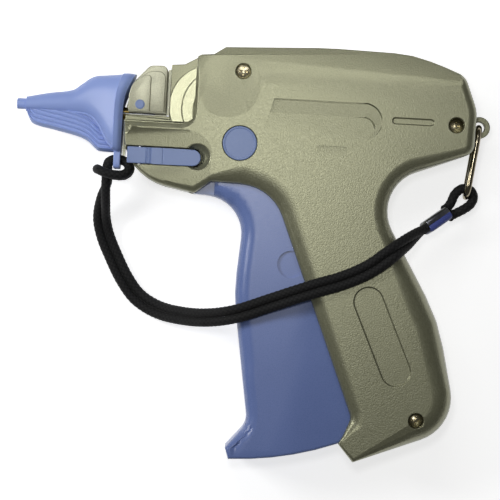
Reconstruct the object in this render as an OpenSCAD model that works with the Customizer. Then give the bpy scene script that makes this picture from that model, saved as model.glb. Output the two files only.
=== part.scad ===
// Garment tag attacher lying on its side: X runs along the needle, Y up the head, Z out of the table.

/* [Casing] */
// Thickness across both casing halves
casing_t = 28; // [26:0.5:32]
// Wall thickness of the casing
wall_t = 2.2; // [1.8:0.1:2.6]
// Thickness of the flat side walls
side_t = 2.8; // [2.2:0.1:3.2]
// Front face of the nose
nose_x = -43.2; // [-44:0.2:-42.6]
// Top edge of the head
head_top_y = 69.8; // [68:0.2:72]
// Back face of the head
head_back_x = 75; // [74:0.2:76]
// Edge rounding of the nose
nose_round = 3; // [1:0.5:3.5]
// Edge rounding of the head at the back
head_round = 3; // [1:0.5:4]
// Edge rounding of the handle behind the palm
palm_round = 8; // [4:0.5:9]
// Height where the top slope of the head starts
crease_y = 59.4; // [57:0.2:62]
// Fall of the top slope of the head
slope_drop = 3; // [1:0.5:4]
// Corner radius of the shallow dish at the front of the head
dish_r = 11; // [8:0.5:14]
// Depth of the dish at its back edge
dish_drop = 0.8; // [0.4:0.1:1.2]
// Width of the bevel round the trigger opening
mouth_band = 6.5; // [3:0.5:7]
// Fall of the bevel round the trigger opening
mouth_drop = 2.2; // [1:0.1:2.6]
// Edge rounding under the head, above the web of the hand
web_band = 5; // [3:0.5:6]
// Outer radius of the strap eye
eye_r = 3.7; // [3.4:0.1:4.2]
// Hole radius of the strap eye
eye_hole_r = 1.9; // [1.6:0.1:2.1]
// Thickness of the strap eye
eye_t = 4.4; // [3:0.2:5]

/* [Side details] */
// Depth of the label recess at its upper edge
label_depth = 1; // [0.4:0.1:1.6]
// Height of the label recess
label_h = 12.4; // [10:0.2:13]
// Width of the channel round the label plate
label_rim = 2.4; // [1.6:0.1:3]
// Width of the grip panel on the handle
panel_w = 9.9; // [8:0.1:11]
// Depth of the grip panel
panel_depth = 0.6; // [0.3:0.1:1]
// Length of the finger groove behind the label
groove_len = 13.8; // [10:0.2:15]
// Height of the finger groove
groove_h = 2; // [1.4:0.1:2.6]

/* [Screws] */
// Head radius of the casing screws
screw_head_r = 2.4; // [2.2:0.1:2.5]
// Shank radius of the casing screws
screw_r = 1.45; // [1.2:0.05:1.6]
// Head height of the casing screws
screw_head_t = 1.6; // [1.2:0.1:2]
// Boss radius round the screws
screw_boss_r = 3.4; // [3:0.1:3.6]

/* [Trigger] */
// Pivot of the trigger, along X
pivot_x = -4; // [-4.4:0.1:-3.6]
// Pivot of the trigger, along Y
pivot_y = 36.3; // [36:0.1:36.6]
// Width of the trigger
trigger_w = 21; // [19:0.5:21.5]
// Wall thickness of the trigger
trigger_wall = 2.4; // [2:0.1:3]
// Reach from the pivot to the bottom edge of the trigger
trigger_reach = 106.1; // [105:0.1:106.2]
// Edge rounding along the front of the trigger
trigger_round = 4; // [1.5:0.5:4.5]
// Gap between the trigger and the casing
mouth_gap = 0.4; // [0.3:0.1:0.6]
// Hub radius of the trigger
hub_r = 6.2; // [6:0.1:6.3]
// Radius of the round pivot caps
cap_disc_r = 5.75; // [5:0.05:5.8]
// Running clearance of pins and bores
run_gap = 0.05; // [0.03:0.01:0.09]

/* [Drive] */
// Height of the needle above the origin
needle_y = 44.8; // [44.6:0.1:45.2]
// Pivot of the drive lever, along X
lever_x = 39; // [38.6:0.1:39.6]
// Pivot of the drive lever, along Y
lever_y = -10; // [-10.4:0.1:-9.6]
// Thickness of the drive lever
lever_t = 4; // [3:0.2:4.4]
// Pivot pin radius of the drive lever
lever_pin_r = 2; // [1.6:0.1:2.4]
// Radius of the drive and slider pins
link_pin_r = 1.5; // [1.2:0.1:1.6]
// Rest place of the slider pin, along X
slider_x = 59; // [58.6:0.1:59.4]
// Length of the slider
slider_len = 14; // [13:0.5:15]
// Height of the slider
slider_h = 8; // [7:0.2:8.4]
// Width of the slider
slider_w = 11.2; // [10:0.2:12]
// Radius of the stout part of the push rod
rod_r = 1.2; // [1:0.05:1.25]
// Radius of the thin tip of the push rod
rod_tip_r = 0.6; // [0.4:0.05:0.65]
// Outer radius of the rod guide
guide_r = 2.8; // [2.2:0.1:3]
// Wire radius of the return spring
spring_wire_r = 0.5; // [0.3:0.05:0.55]
// Turns of the return spring
spring_turns = 4; // [2:1:4]

/* [Feed] */
// Number of teeth on the feed wheel
wheel_teeth = 13; // [11:1:14]
// Tip radius of the feed wheel
wheel_r = 6.2; // [5.8:0.1:6.3]
// Thickness of the feed wheel
wheel_t = 4.4; // [3:0.2:5]
// Radius of the wheel axle
axle_r = 1.2; // [0.8:0.1:1.4]
// Width of the clip slot
slot_w = 1.2; // [1:0.1:1.4]
// Back wall of the clip slot
slot_x = -28.4; // [-28.6:0.1:-28.2]

/* [Nose] */
// Height of the pin slit under the nose block
slit_h = 1.2; // [0.8:0.1:1.6]
// Radius of the blue pin through the nose block
block_pin_r = 1.65; // [1.4:0.05:1.8]
// Outer radius of the needle
needle_r = 1.25; // [1.1:0.05:1.3]
// Bore radius of the needle
needle_bore_r = 0.8; // [0.7:0.05:0.9]
// Length of needle in front of the nose
needle_out = 32; // [28:0.5:32.5]
// Radius of the bush that holds the needle
base_r = 2.4; // [2:0.1:2.6]
// Radius of the spigot that the cap sits on
spigot_r = 2.1; // [1.8:0.1:2.2]
// Gap between the nose and the cap
cap_gap = 0.9; // [0.6:0.1:1.4]
// Width of the cap flange
cap_w = 17.2; // [16:0.2:18]
// Thickness of the ribbed keel on the cap
keel_t = 5.2; // [4:0.2:6]
// Number of ribs on each side of the keel
keel_ribs = 5; // [2:1:6]

/* [Lock lever] */
// Height of the lock lever's middle line
lock_y = 30.5; // [30:0.1:31]
// Width of the lock lever
lock_h = 5.5; // [4.5:0.1:6]
// Thickness of the lock lever
lock_t = 2.6; // [2:0.1:2.8]
// Hinge of the lock lever, along X
lock_x = -37.2; // [-37.8:0.1:-36.8]
// Hinge pin radius of the lock lever
lock_pin_r = 0.8; // [0.6:0.05:0.9]

/* [Strap] */
// Diameter of the strap cord
cord_d = 3; // [2.6:0.1:3.1]
// Wire radius of the strap link
link_wire_r = 1.1; // [0.9:0.05:1.2]
// Length of the strap link
link_len = 26; // [24:0.2:27]
// Width of the strap link
link_w = 10.4; // [9:0.2:11]
// Length of the strap ferrule
ferrule_len = 9.8; // [8:0.2:11]

/* [Hidden] */

$fn = 48;
grey = "#b3b294";
blue = "#8ea2d6";
steel = "#c6c7c2";
black = "#1b1c1f";

half_t = casing_t / 2;
pivot = [pivot_x, pivot_y];
lever_at = [lever_x, lever_y];
over = 1;
arc_step = 10;
ring_step = 22.5;

// Levels above the parting plane
cavity_mid = half_t - 7;
cavity_high = half_t - side_t;
trigger_half = trigger_w / 2;
mouth_half = trigger_half + mouth_gap;
slit_low = needle_y - slit_h / 2;
slit_high = needle_y + slit_h / 2;

// Corners of the casing: x, y, fillet radius, inset and drop of the edge rounding
casing_corners = [
    [nose_x, slit_low, 0, 1, 1],
    [nose_x, 23.6, 18, 2 * nose_round, nose_round],
    [-18.4, 18.8, 0, 1.6 * nose_round, mouth_drop],
    [-13, 23, 0, 2.4, mouth_drop],
    [7.6, 22.4, 16, mouth_band, mouth_drop],
    [38.4, -53.6, 4, mouth_band * 0.7, mouth_drop],
    [36, -59.6, 0, 1.6, 1],
    [34.4, -62.4, 0, 0.8, 0.8],
    [39.6, -68.4, 0, 1.5, 1.5],
    [74.4, -55.4, 15, palm_round - 1, palm_round - 2],
    [66.2, -19.4, 60, palm_round, palm_round - 1],
    [40.4, 24, 14, web_band, web_band],
    [head_back_x - 0.4, 37.4, 4, head_round, head_round],
    [head_back_x, 51.5, 12, head_round, head_round],
    [70.4, 63.2, 6, head_round, head_round],
    [52.5, head_top_y - 0.4, 40, 1.2, 1.2],
    [24, head_top_y + 0.2, 100, 1.2, 1.2],
    [-10.4, head_top_y - 1.4, 0, 1.2, 1.2],
    [-14.2, 65.8, 0, 1, 1],
    [-18.4, 65.4, 0, 1, 1],
    [-24, 62.2, 0, 0.8, 0.8],
    [slot_x, 61.8, 0, 0.8, 0.8],
    [slot_x, slit_low, 0, 0.8, 0.8]
];
screw_places = [[-4.1, 60.5], [68.2, 46.3], [60.1, -53.3]];
screw_seats = [half_t - 3.4, half_t - 6, half_t - 6];
eye_at = [head_back_x + 1.7, 46.5];

// Corners of the trigger blade
trigger_corners = concat(
    [
        [-19.6, 20.4, 0, 0.6, 0.6],
        [-18.9, 18.9, 0, 0.6, 0.6],
        [-0.9, 17.5, 13, trigger_round, trigger_round],
        [-3.3, -14, 60, trigger_round, trigger_round],
        [3.6, -57.5, 7, trigger_round, trigger_round],
        [-3.4, -66, 0, 1.5, 1.5]
    ],
    [for (a = [-89 : 4 : -65]) concat(pivot + trigger_reach * [cos(a), sin(a)], [0, 1, 1])],
    [
        [42.4, -56, 0, 0.6, 0.6],
        [25.4, -17.5, 0, 0.6, 0.6],
        [14.6, 11.6, 0, 0.6, 0.6],
        [8, 31, 0, 0.6, 0.6],
        [-9.6, 33, 0, 0.6, 0.6],
        [-11.6, 25, 0, 0.6, 0.6]
    ]
);

// Round recess on the trigger, and the thin tongue in front of its head
moon_at = [15.4, -3.3];
moon_r = 4.6;
moon_depth = 0.8;
tongue_x = -11.7;
tongue_drop = 2.4;

// Drive pin on the trigger, and the slots of the lever: middle from its pivot, half travel and side room
drive_pin_at = [lever_x + 7, lever_y - 19];
drive_arm = drive_pin_at - lever_at;
drive_slot_mid = norm(drive_arm) - 0.6;
drive_slot_half = 0.65;
drive_pin_room = 0.3;
top_turn = 19.8;
top_slot_mid = 57.8;
top_slot_half = 3.2;
slider_pin_room = 0.75;
slot_end_room = 0.25;
lever_w = 6;
lever_foot = lever_at + drive_slot_mid * unit(drive_arm);
lever_top = lever_at + top_slot_mid * [sin(top_turn), cos(top_turn)];
lever_bends = [lever_at + [-1, 22], lever_at + [-0.4, 34.5], lever_at + [5, 41.6], lever_at + [15.5, 46.2]];
rib_in = lever_t / 2 + 0.6;
rib_t = 2.4;
boss_r = lever_pin_r + 1.2;
boss_low = lever_t / 2 + 0.3;

// Rod and slider
slider_front = slider_x - slider_len + 4;
rod_step_x = 26;
rod_end_x = slot_x + 1;
guide_x = -17;
guide_len = 8;
bulkhead_x = guide_x + guide_len;
bulkhead_y = pivot_y + hub_r + 0.35;
rail_gap = 0.2;
rail_t = 1.6;

// Feed wheel in mesh with the pawl on the trigger hub
wheel_at = [slot_x - 0.5 + wheel_r, pivot_y + 0.5];
wheel_root_r = wheel_r - 1.7;
axle_len = wheel_t + 13.6;
trigger_swing = 11;
pawl_line = atan2(wheel_at.y - pivot_y, wheel_at.x - pivot_x);
pawl_rest = pawl_line - trigger_swing / 2;
pawl_reach = norm(wheel_at - pivot) - wheel_root_r - 0.2;
pawl_t = 2;

// Nose block layers: half width, back face, top edge, radius of the upper back corner, start of the top edge
block_front_x = nose_x + 1;
block_back_x = slot_x - slot_w;
block_crest_x = block_front_x + 7.6;
block_layers = [
    [9.5, block_back_x - 5.3, 58.8, 1.5, []],
    [8, block_back_x - 0.5, 59.5, 2.6, [[block_crest_x, 59.2, 2.2]]],
    [6.4, block_back_x, 61.5, 2, [[block_crest_x, 61.2, 2.2]]]
];
block_slope = [block_front_x + 2.4, 54.6];
block_chin_y = 50.4;
stem_half = 5;
stem_low = 34;
block_pin_at = [block_front_x + 3.9, needle_y + 2.9];
base_back_x = -33.5;

// Cap sections forward of its back face: distance, upper and lower edge, half width,
// lean of the crest and squareness
cap_back_x = nose_x - cap_gap;
cap_len = needle_out + 1.1;
cap_tip_x = cap_back_x - cap_len;
cap_half = cap_w / 2;
cap_sections = [
    [0, 58.1, 31.2, cap_half - 2, 3.8, 5],
    [1.2, 58.3, 31.2, cap_half - 0.6, 3, 5],
    [2.8, 58.2, 31.8, cap_half, 2, 5],
    [4.7, 57.8, 33.6, cap_half - 0.9, 1, 4.4],
    [7.3, 57.3, 38.2, cap_half - 2.1, 0.3, 3.6],
    [9.4, 57, 41, cap_half - 2.9, 0, 3],
    [11.7, 56.1, 42.4, cap_half - 3.6, 0, 2.5],
    [14.4, 54.1, 43, cap_half - 4.3, 0, 2.2],
    [17.6, 51.8, 43.3, cap_half - 4.9, 0, 2],
    [25.4, 50.4, 43.5, cap_half - 5.5, 0, 2],
    [cap_len, 48.7, 43.7, cap_half - 6, 0, 2]
];
crest_from = 46;
crest_to = 58;
rib_first = 1.2;
rib_pitch = 1.5;
rib_w = 0.8;
rib_h = 0.45;
nub_len = 3.2;
lug_t = 2.3;
lug_half = 4.8;
lug_low = 25.8;
lug_hole_y = 28.9;
lug_hole = [6.8, 3.3];

// Dish at the front of the head: front, lower and back edges, front corner radius, tilts of its floor
dish_front_x = -18;
dish_low = 44.6;
dish_x = 2.2;
dish_front_r = 7;
dish_tilt = [-3.4, -2, 0];
dish_lean = 1.4;

// Ledge above the nose and beside the clip slot, inside a rim
ledge_x = -18.8;
ledge_low = 40.2;
ledge_r = 6;
ledge_drop = 2;
ledge_lean = 0.7;

// Flutes between the ledge and the clip slot: edge, level below the side face, arc that ends the flute
flute_x = -19.6;
flute_low = 42.4;
flute_r = 3;
flutes = [
    [-20.3, 2.6, [-6, 46.5, 14.3]],
    [-24.2, 4.8, [-11, 47.5, 13.2]]
];
flute_tilt = 24;
flute_end = [-14.8, 48.2, 13.8];
flute_deep = 7.6;

// Taper of the nose below its rim: upper and back limits, corner radius, tilt, lean of its wall
taper_high = 39.7;
taper_x = -13;
taper_r = 8;
taper_tilt = 3.2;
taper_lean = 1.6;
taper_drop = 2.4;
far = 6;

// Label recess, small frame, finger groove and grip panel on the sides
label_low = 39.6;
label_front_x = 3.4;
label_back_x = 37;
label_slant = 0.266;
frame_at = [22, 32.4];
frame_size = [9.9, 4.6];
frame_depth = 0.35;
groove_at = [53.6, 46.7];
groove_depth = 0.6;
panel_at = [47.2, -25.8];
panel_turn = -65.7;
panel_straight = 25;

// Strap route along the middle of the folded cord: x, y, z, turn of the pair
strap_route = [
    [-48.6, 20.4, 13, 90],
    [-49.6, 15, 9.4, 50],
    [-50, 9, 5, 15],
    [-48.6, 3, 2.6, 2],
    [-45.4, -4, 1.7, 0],
    [-41.3, -11.4, 1.7, 0],
    [-36.4, -17.4, 1.9, 0],
    [-29.6, -21.2, 4.4, 0],
    [-21.4, -22.8, 11, 0],
    [-11.8, -22.8, 19.6, 0],
    [-2, -20.8, 26, 0],
    [9, -16.6, 27.2, 0],
    [18.6, -12.8, 29.6, 0],
    [25, -10.4, 30.1, 0],
    [33, -7.6, 30, 0],
    [41.4, -3.4, 30, 0],
    [48.4, 2, 30.1, 8],
    [53.4, 6, 26, 40],
    [57, 8.9, 21.6, 70]
];
pair_half = 1.62;
// Hitch on the cap: x, y and height from the parting plane, for one half
hitch_half = [
    [-48.6, 25.2, 1.6],
    [-48.1, 28, 1.6],
    [-45.6, 29, 1.6],
    [-42.6, 28.4, 2.1],
    [-41, 26.2, 3.1],
    [-42.6, 24, 4.1],
    [-46, 23.7, 4.7],
    [-49.2, 24.3, 4.7],
    [-51.2, 25.1, 3.5]
];
hitch_fold = [-52, 25.4, 0];
// Short straight way of each strand where the hitch begins
hitch_lead = [-0.15, 0.9, 0.1];
// Ferrule from its lower end, along its middle line
ferrule_low = [60.2, 11.4, 18.8];
ferrule_dir = unit([0.76, 0.58, -0.42]);
ferrule_side = unit([-ferrule_dir.y, ferrule_dir.x, 0]);
ferrule_up = cross(ferrule_dir, ferrule_side);
ferrule_high = ferrule_low + ferrule_len * ferrule_dir;
ferrule_h = 6.4;
ferrule_w = 4.6;
cord_lead = 1.6;
// End loop through the link, between its two leads at the ferrule
loop_route = [
    [68.6, 20.6, 15.2],
    [69.9, 23.6, 14.4],
    [72.2, 25.6, 14],
    [74.8, 25.4, 13.9],
    [76.2, 23.2, 14],
    [75.4, 20.6, 14.4],
    [73, 18.6, 15]
];

// Plane curves

function unit(v) = v / norm(v);

// Arc that rounds corner q between its neighbours p and s
function fillet(p, q, s) =
    q[2] == 0 ? [[q.x, q.y, q[3], q[4]]] :
    let (
        u = unit([p.x - q.x, p.y - q.y]),
        v = unit([s.x - q.x, s.y - q.y]),
        half = acos(u * v) / 2,
        c = [q.x, q.y] + unit(u + v) * q[2] / sin(half),
        start = [q.x, q.y] + u * q[2] / tan(half),
        a = atan2(start.y - c.y, start.x - c.x),
        turn = sign(cross(-u, v)) * (180 - 2 * half),
        n = max(1, ceil(abs(turn) / arc_step))
    )
    [
        for (i = [0 : n])
            let (b = a + turn * i / n)
            [c.x + q[2] * cos(b), c.y + q[2] * sin(b), q[3], q[4]]
    ];

// Outline with every corner rounded
function outline(corners) =
    let (n = len(corners))
    [for (i = [0 : n - 1]) each fillet(corners[(i + n - 1) % n], corners[i], corners[(i + 1) % n])];

function flat(points) = [for (p = points) [p.x, p.y]];

// Inward step at point i that moves both of its edges by one unit
function mitre(points, i) =
    let (
        n = len(points),
        a = points[(i + n - 1) % n],
        b = points[i],
        c = points[(i + 1) % n],
        d = unit([b.x - a.x, b.y - a.y]),
        e = unit([c.x - b.x, c.y - b.y])
    )
    ([-d.y, d.x] + [-e.y, e.x]) / (1 + d * e);

// Ring of a rounded edge: angle 0 is the upright wall and 90 the flat face
function edge_ring(points, face, angle) =
    [
        for (i = [0 : len(points) - 1])
            let (
                m = mitre(points, i),
                step = points[i][2] * (1 - cos(angle)),
                fall = points[i][3] * (1 - sin(angle))
            )
            [points[i].x + m.x * step, points[i].y + m.y * step, face - fall]
    ];

// Twice the area of a triangle, positive when it turns left
function turn_area(a, b, c) = (b.x - a.x) * (c.y - a.y) - (b.y - a.y) * (c.x - a.x);

// Corner k of a ring with the corners before and after it
function corner(ring, k) = let (n = len(ring)) [ring[(k + n - 1) % n], ring[k], ring[(k + 1) % n]];

// Whether a corner of a ring of points can be cut off with no other point inside the cut
function is_ear(points, ring, k) =
    let (t = corner(ring, k), a = points[t[0]], b = points[t[1]], c = points[t[2]])
    turn_area(a, b, c) > 0 && len([
        for (i = ring)
            let (q = points[i])
            if (i != t[0] && i != t[1] && i != t[2])
                if (turn_area(a, b, q) >= 0 && turn_area(b, c, q) >= 0 && turn_area(c, a, q) >= 0) i
    ]) == 0;

function first_ear(points, ring, k = 0) =
    k == len(ring) - 1 || is_ear(points, ring, k) ? k : first_ear(points, ring, k + 1);

// Triangles of a plane ring, cut off one corner at a time
function ears(points, ring, found = []) =
    len(ring) == 3 ? concat(found, [ring]) :
    let (k = first_ear(points, ring))
    ears(points, [for (i = ring) if (i != ring[k]) i], concat(found, [corner(ring, k)]));

// Faces of a skin over m rings of n points, with the faces that close both ends
function skin(n, m, low, high) = concat(
    low,
    [
        for (j = [0 : m - 2], i = [0 : n - 1], k = [0, 1])
            let (a = j * n + i, b = j * n + (i + 1) % n)
            k == 0 ? [a, a + n, b + n] : [a, b + n, b]
    ],
    [for (f = high) [for (i = backward(f)) (m - 1) * n + i]]
);

function backward(list) = [for (i = [len(list) - 1 : -1 : 0]) list[i]];

// End face of a ring that is alike on both sides of its first point, in strips from side to side
function strips(n) =
    [
        for (i = [0 : n / 2 - 1], k = [0, 1])
            if (k == 0 ? i < n / 2 - 1 : i > 0)
                k == 0 ? [i, i + 1, n - i - 1] : [i, n - i - 1, n - i]
    ];

// Loft through round rings
module lofted(rings) {
    n = len(rings[0]);
    polyhedron([for (r = rings) each r], skin(n, len(rings), strips(n), strips(n)));
}

// Loft through level rings of any shape
module lofted_plan(rings) {
    n = len(rings[0]);
    m = len(rings);
    ring = [for (i = [0 : n - 1]) i];
    polyhedron([for (r = rings) each r], skin(n, m, ears(rings[0], ring), ears(rings[m - 1], ring)));
}

// Slab from the parting plane to a rounded face
module round_half(points, face) lofted_plan(concat(
    [[for (p = points) [p.x, p.y, 0]]],
    [for (a = [0 : ring_step : 90]) edge_ring(points, face, a)]
));

// Slab with both faces rounded
module round_slab(points, face) lofted_plan(concat(
    [for (a = [90 : -ring_step : 0]) [for (p = edge_ring(points, face, a)) [p.x, p.y, -p.z]]],
    [for (a = [0 : ring_step : 90]) edge_ring(points, face, a)]
));

// Bar along a bent path, square at its ends
module stroke(path, w) {
    n = len(path);
    along = [for (i = [0 : n - 2]) unit(path[i + 1] - path[i])];
    side = [
        for (i = [0 : n - 1])
            let (a = along[max(i - 1, 0)], b = along[min(i, n - 2)])
            ([-a.y, a.x] + [-b.y, b.x]) / (1 + a * b)
    ];
    polygon(concat(
        [for (i = [0 : n - 1]) path[i] - side[i] * w / 2],
        [for (i = [n - 1 : -1 : 0]) path[i] + side[i] * w / 2]
    ));
}

// Rounded rectangle about the origin
module rounded_bar(len, h, r) {
    x = len / 2;
    y = h / 2;
    polygon(flat(outline([[-x, -y, r, 0], [x, -y, r, 0], [x, y, r, 0], [-x, y, r, 0]])));
}

// Swept tubes

function tangents(path) =
    let (n = len(path))
    [for (i = [0 : n - 1]) unit(path[min(i + 1, n - 1)] - path[max(i - 1, 0)])];

// Normals carried along the path without twist
function normals(t) =
    [
        for (
            i = 0, v = unit(cross(t[0], [0.3, 0.2, 1]));
            i < len(t);
            i = i + 1, v = unit(v - t[min(i, len(t) - 1)] * (v * t[min(i, len(t) - 1)]))
        ) v
    ];

function tube_rings(path, r, sides) =
    let (t = tangents(path), u = normals(t))
    [
        for (i = [0 : len(path) - 1])
            let (v = cross(t[i], u[i]))
            [
                for (k = [0 : sides - 1])
                    let (a = 360 * k / sides)
                    path[i] + r * (u[i] * cos(a) + v * sin(a))
            ]
    ];

module tube(path, r, sides) lofted(tube_rings(path, r, sides));

// Path with one more point inside every stretch
function halfway(path) =
    let (n = len(path))
    [
        for (i = [0 : n - 1], k = [0, 1])
            if (k == 0 || i < n - 1)
                k == 0 ? path[i] :
                (-path[max(i - 1, 0)] + 9 * path[i] + 9 * path[i + 1] - path[min(i + 2, n - 1)]) / 16
    ];

module lift() translate([0, 0, half_t]) children();

module across(x, y, r, h) translate([x, y, -h / 2]) cylinder(r = r, h = h);

module along_x(x0, x1, y, r) translate([x0, y, 0]) rotate([0, 90, 0]) cylinder(r = r, h = x1 - x0);

// Casing

module casing_plan() polygon(flat(outline(casing_corners)));

// Corners of a zone in front of x and above y
function front_zone(x, y, r) = outline([
    [nose_x - far, y, 0],
    [x, y, r],
    [x, head_top_y + far, 0],
    [nose_x - far, head_top_y + far, 0]
]);

// Outline moved inwards, as a ring at a level
function moved_ring(points, inset, z) =
    [
        for (i = [0 : len(points) - 1])
            let (m = mitre(points, i))
            [points[i].x + m.x * inset, points[i].y + m.y * inset, z]
    ];

// Cut through the side face down to a depth, with walls that lean outwards by a share of their height
module leaning_cut(points, depth, lean) lofted_plan([
    moved_ring(points, lean * depth, half_t - depth),
    moved_ring(points, -lean * over, half_t + over)
]);

// All that lies above a tilted plane through a point
module above(at, turn)
    translate(at)
        rotate(turn)
            translate([-casing_t * 3, -casing_t * 3, 0])
                cube([casing_t * 6, casing_t * 6, casing_t]);

// Upright cut of the flute zone outside an arc
module flute_cut(arc)
    translate([0, 0, half_t - flute_deep])
        linear_extrude(casing_t)
            difference() {
                polygon(flat(front_zone(flute_x, flute_low, flute_r)));
                translate([arc[0], arc[1]])
                    circle(r = arc[2]);
            }

// Stepped valley beside the clip slot, with sloped flutes
module slot_valley() {
    leaning_cut(front_zone(ledge_x, ledge_low, ledge_r), ledge_drop, ledge_lean);
    for (f = flutes)
        intersection() {
            flute_cut(f[2]);
            above([f[0], 0, half_t - f[1]], [0, -flute_tilt, 0]);
        }
    flute_cut(flute_end);
}

// Slope along the top of the head, the dish at its front and the taper of the nose
module head_facets() {
    translate([-casing_t * 3, crease_y, half_t])
        rotate([-atan(slope_drop / (head_top_y - crease_y)), 0, 0])
            cube([casing_t * 6, casing_t, casing_t]);
    intersection() {
        leaning_cut(outline([
            [dish_front_x, dish_low, dish_front_r],
            [dish_x, dish_low, dish_r],
            [dish_x, head_top_y + far, 0],
            [dish_front_x, head_top_y + far, 0]
        ]), slope_drop + over, dish_lean);
        above([dish_x, crease_y, half_t - dish_drop], dish_tilt);
    }
    intersection() {
        leaning_cut(outline([
            [nose_x - far, 0, 0],
            [taper_x, 0, 0],
            [taper_x, taper_high, taper_r],
            [nose_x - far, taper_high, 0]
        ]), taper_drop, taper_lean);
        above([taper_x, 0, half_t], [0, -taper_tilt, 0]);
    }
}

// Label recess with a straight slanted front and a round back
module label_plan(inset) {
    r = label_h / 2 - inset;
    mid = label_low + r;
    polygon(concat(
        [[label_front_x + 2 * r * label_slant, mid + r], [label_front_x, label_low], [label_back_x, label_low]],
        [for (a = [-90 + arc_step : arc_step : 90]) [label_back_x + r * cos(a), mid + r * sin(a)]]
    ));
}

// Recess whose floor rises from a depth at its upper edge to the side face at its lower edge
module sloped_recess(low, h, depth)
    intersection() {
        translate([0, 0, half_t - depth - over])
            linear_extrude(casing_t)
                children();
        translate([0, low, half_t])
            rotate([-atan(depth / h), 0, 0])
                translate([-casing_t, -casing_t / 2, 0])
                    cube([casing_t * 4, casing_t * 2, casing_t]);
    }

// Recesses on the side that faces the user
module side_recesses() {
    sloped_recess(label_low, label_h, label_depth)
        difference() {
            label_plan(0);
            label_plan(label_rim);
        }
    sloped_recess(label_low, label_h, label_depth * 0.45)
        label_plan(label_rim);
    sloped_recess(frame_at.y, frame_size.y, frame_depth)
        translate(frame_at)
            square(frame_size);
    translate([groove_at.x, groove_at.y, half_t - groove_depth])
        linear_extrude(casing_t)
            rounded_bar(groove_len, groove_h, groove_h / 2 - 0.05);
}

module grip_panel()
    translate([panel_at.x, panel_at.y, half_t - panel_depth])
        rotate(panel_turn)
            linear_extrude(casing_t)
                rounded_bar(panel_straight + panel_w, panel_w, panel_w / 2 - 0.05);

// Pocket, cam well and finger scoop of the lock lever
lock_top = half_t - 0.5;
lock_axis_z = lock_top - 2.1;
lock_toe = 4.3;
lock_end_x = lock_x + 20.4;
lock_well_r = norm([lock_toe, 2.1]) + 0.25;
module lock_pocket() {
    w = lock_h + 0.7;
    translate([0, 0, lock_top - lock_t - 0.3])
        linear_extrude(casing_t)
            polygon(flat(outline([
                [nose_x - over, lock_y - w / 2, 0],
                [lock_end_x + 0.4, lock_y - w / 2, w / 2 - 0.1],
                [lock_end_x + 0.4, lock_y + w / 2, w / 2 - 0.1],
                [nose_x - over, lock_y + w / 2, 0]
            ])));
    translate([lock_x, lock_y + w / 2, lock_axis_z])
        rotate([90, 0, 0])
            cylinder(r = lock_well_r, h = w);
    translate([lock_end_x - 1.4, lock_y + 0.4, half_t + 2.8])
        sphere(r = 5.4);
}

// Room for the trigger, open at the front of the handle
module mouth_plan()
    intersection() {
        translate(pivot)
            circle(r = trigger_reach + mouth_gap, $fn = 180);
        polygon([
            [-20.4, 5], [-8, -90], [56, -90], [50, -50], [24, 6], [12, 31], [-13, 31], [-20.4, 24.8]
        ]);
    }

module cavity_plan(inset)
    difference() {
        offset(delta = -inset)
            casing_plan();
        translate([bulkhead_x - 100, bulkhead_y])
            square(100);
        translate([-119, -20])
            square([100, 100]);
    }

module cavity() {
    translate([0, 0, -over])
        linear_extrude(over + cavity_mid)
            cavity_plan(wall_t);
    translate([0, 0, -over])
        linear_extrude(over + cavity_high)
            cavity_plan(wall_t + 3);
    translate([0, 0, -over])
        linear_extrude(over + mouth_half)
            mouth_plan();
}

// Room in the nose for the wheel, clip, block stem and rod
module nose_rooms() {
    across(wheel_at.x, wheel_at.y, wheel_r + 0.5, wheel_t + 0.8);
    translate([block_back_x, 15, -4.6])
        cube([slot_w, needle_y - 15, 9.2]);
    translate([block_front_x, stem_low, -stem_half])
        cube([block_back_x - block_front_x, needle_y - stem_low, 2 * stem_half]);
    along_x(nose_x - over, block_front_x + over, needle_y, base_r);
    along_x(slot_x - over, guide_x + over, needle_y, rod_r + 0.4);
    along_x(guide_x, bulkhead_x + over, needle_y, guide_r);
    across(wheel_at.x, wheel_at.y, axle_r, axle_len);
}

// Ribs and bosses inside one half
module casing_inside() {
    for (y = [slider_h / 2 + rail_gap, -slider_h / 2 - rail_gap - rail_t])
        translate([8, needle_y + y, lever_t / 2 + 0.6])
            cube([56, rail_t, cavity_high - lever_t / 2]);
    translate([lever_x, lever_y, boss_low])
        cylinder(r = boss_r, h = cavity_high - boss_low + over);
    for (p = screw_places)
        translate(p)
            cylinder(r = screw_boss_r, h = cavity_high);
}

module strap_eye() {
    translate(eye_at)
        cylinder(r = eye_r, h = eye_t / 2);
    translate([head_back_x - 4, eye_at.y - eye_r * 0.9, 0])
        cube([eye_at.x - head_back_x + 4, eye_r * 1.8, eye_t / 2]);
}

// One casing half above the parting plane, without its screw holes
module casing_half()
    difference() {
        union() {
            difference() {
                round_half(outline(casing_corners), half_t);
                cavity();
                head_facets();
                grip_panel();
            }
            casing_inside();
            strap_eye();
        }
        slot_valley();
        nose_rooms();
        across(pivot_x, pivot_y, cap_disc_r + run_gap, casing_t + 2);
        across(lever_x, lever_y, lever_pin_r, cavity_high * 2 - 2);
        across(eye_at.x, eye_at.y, eye_hole_r, casing_t);
    }

module upper_shell()
    color(grey)
        lift()
            difference() {
                casing_half();
                side_recesses();
                lock_pocket();
                lock_lever_pin_bore();
                for (i = [0 : 2]) {
                    across(screw_places[i].x, screw_places[i].y, screw_r + 0.25, casing_t + 2);
                    translate([screw_places[i].x, screw_places[i].y, screw_seats[i]])
                        cylinder(r = screw_head_r + 0.2, h = casing_t);
                }
            }

module lower_shell()
    color(grey)
        lift()
            mirror([0, 0, 1])
                difference() {
                    casing_half();
                    for (p = screw_places)
                        across(p.x, p.y, screw_r, 2 * cavity_high - 4);
                }

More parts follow.
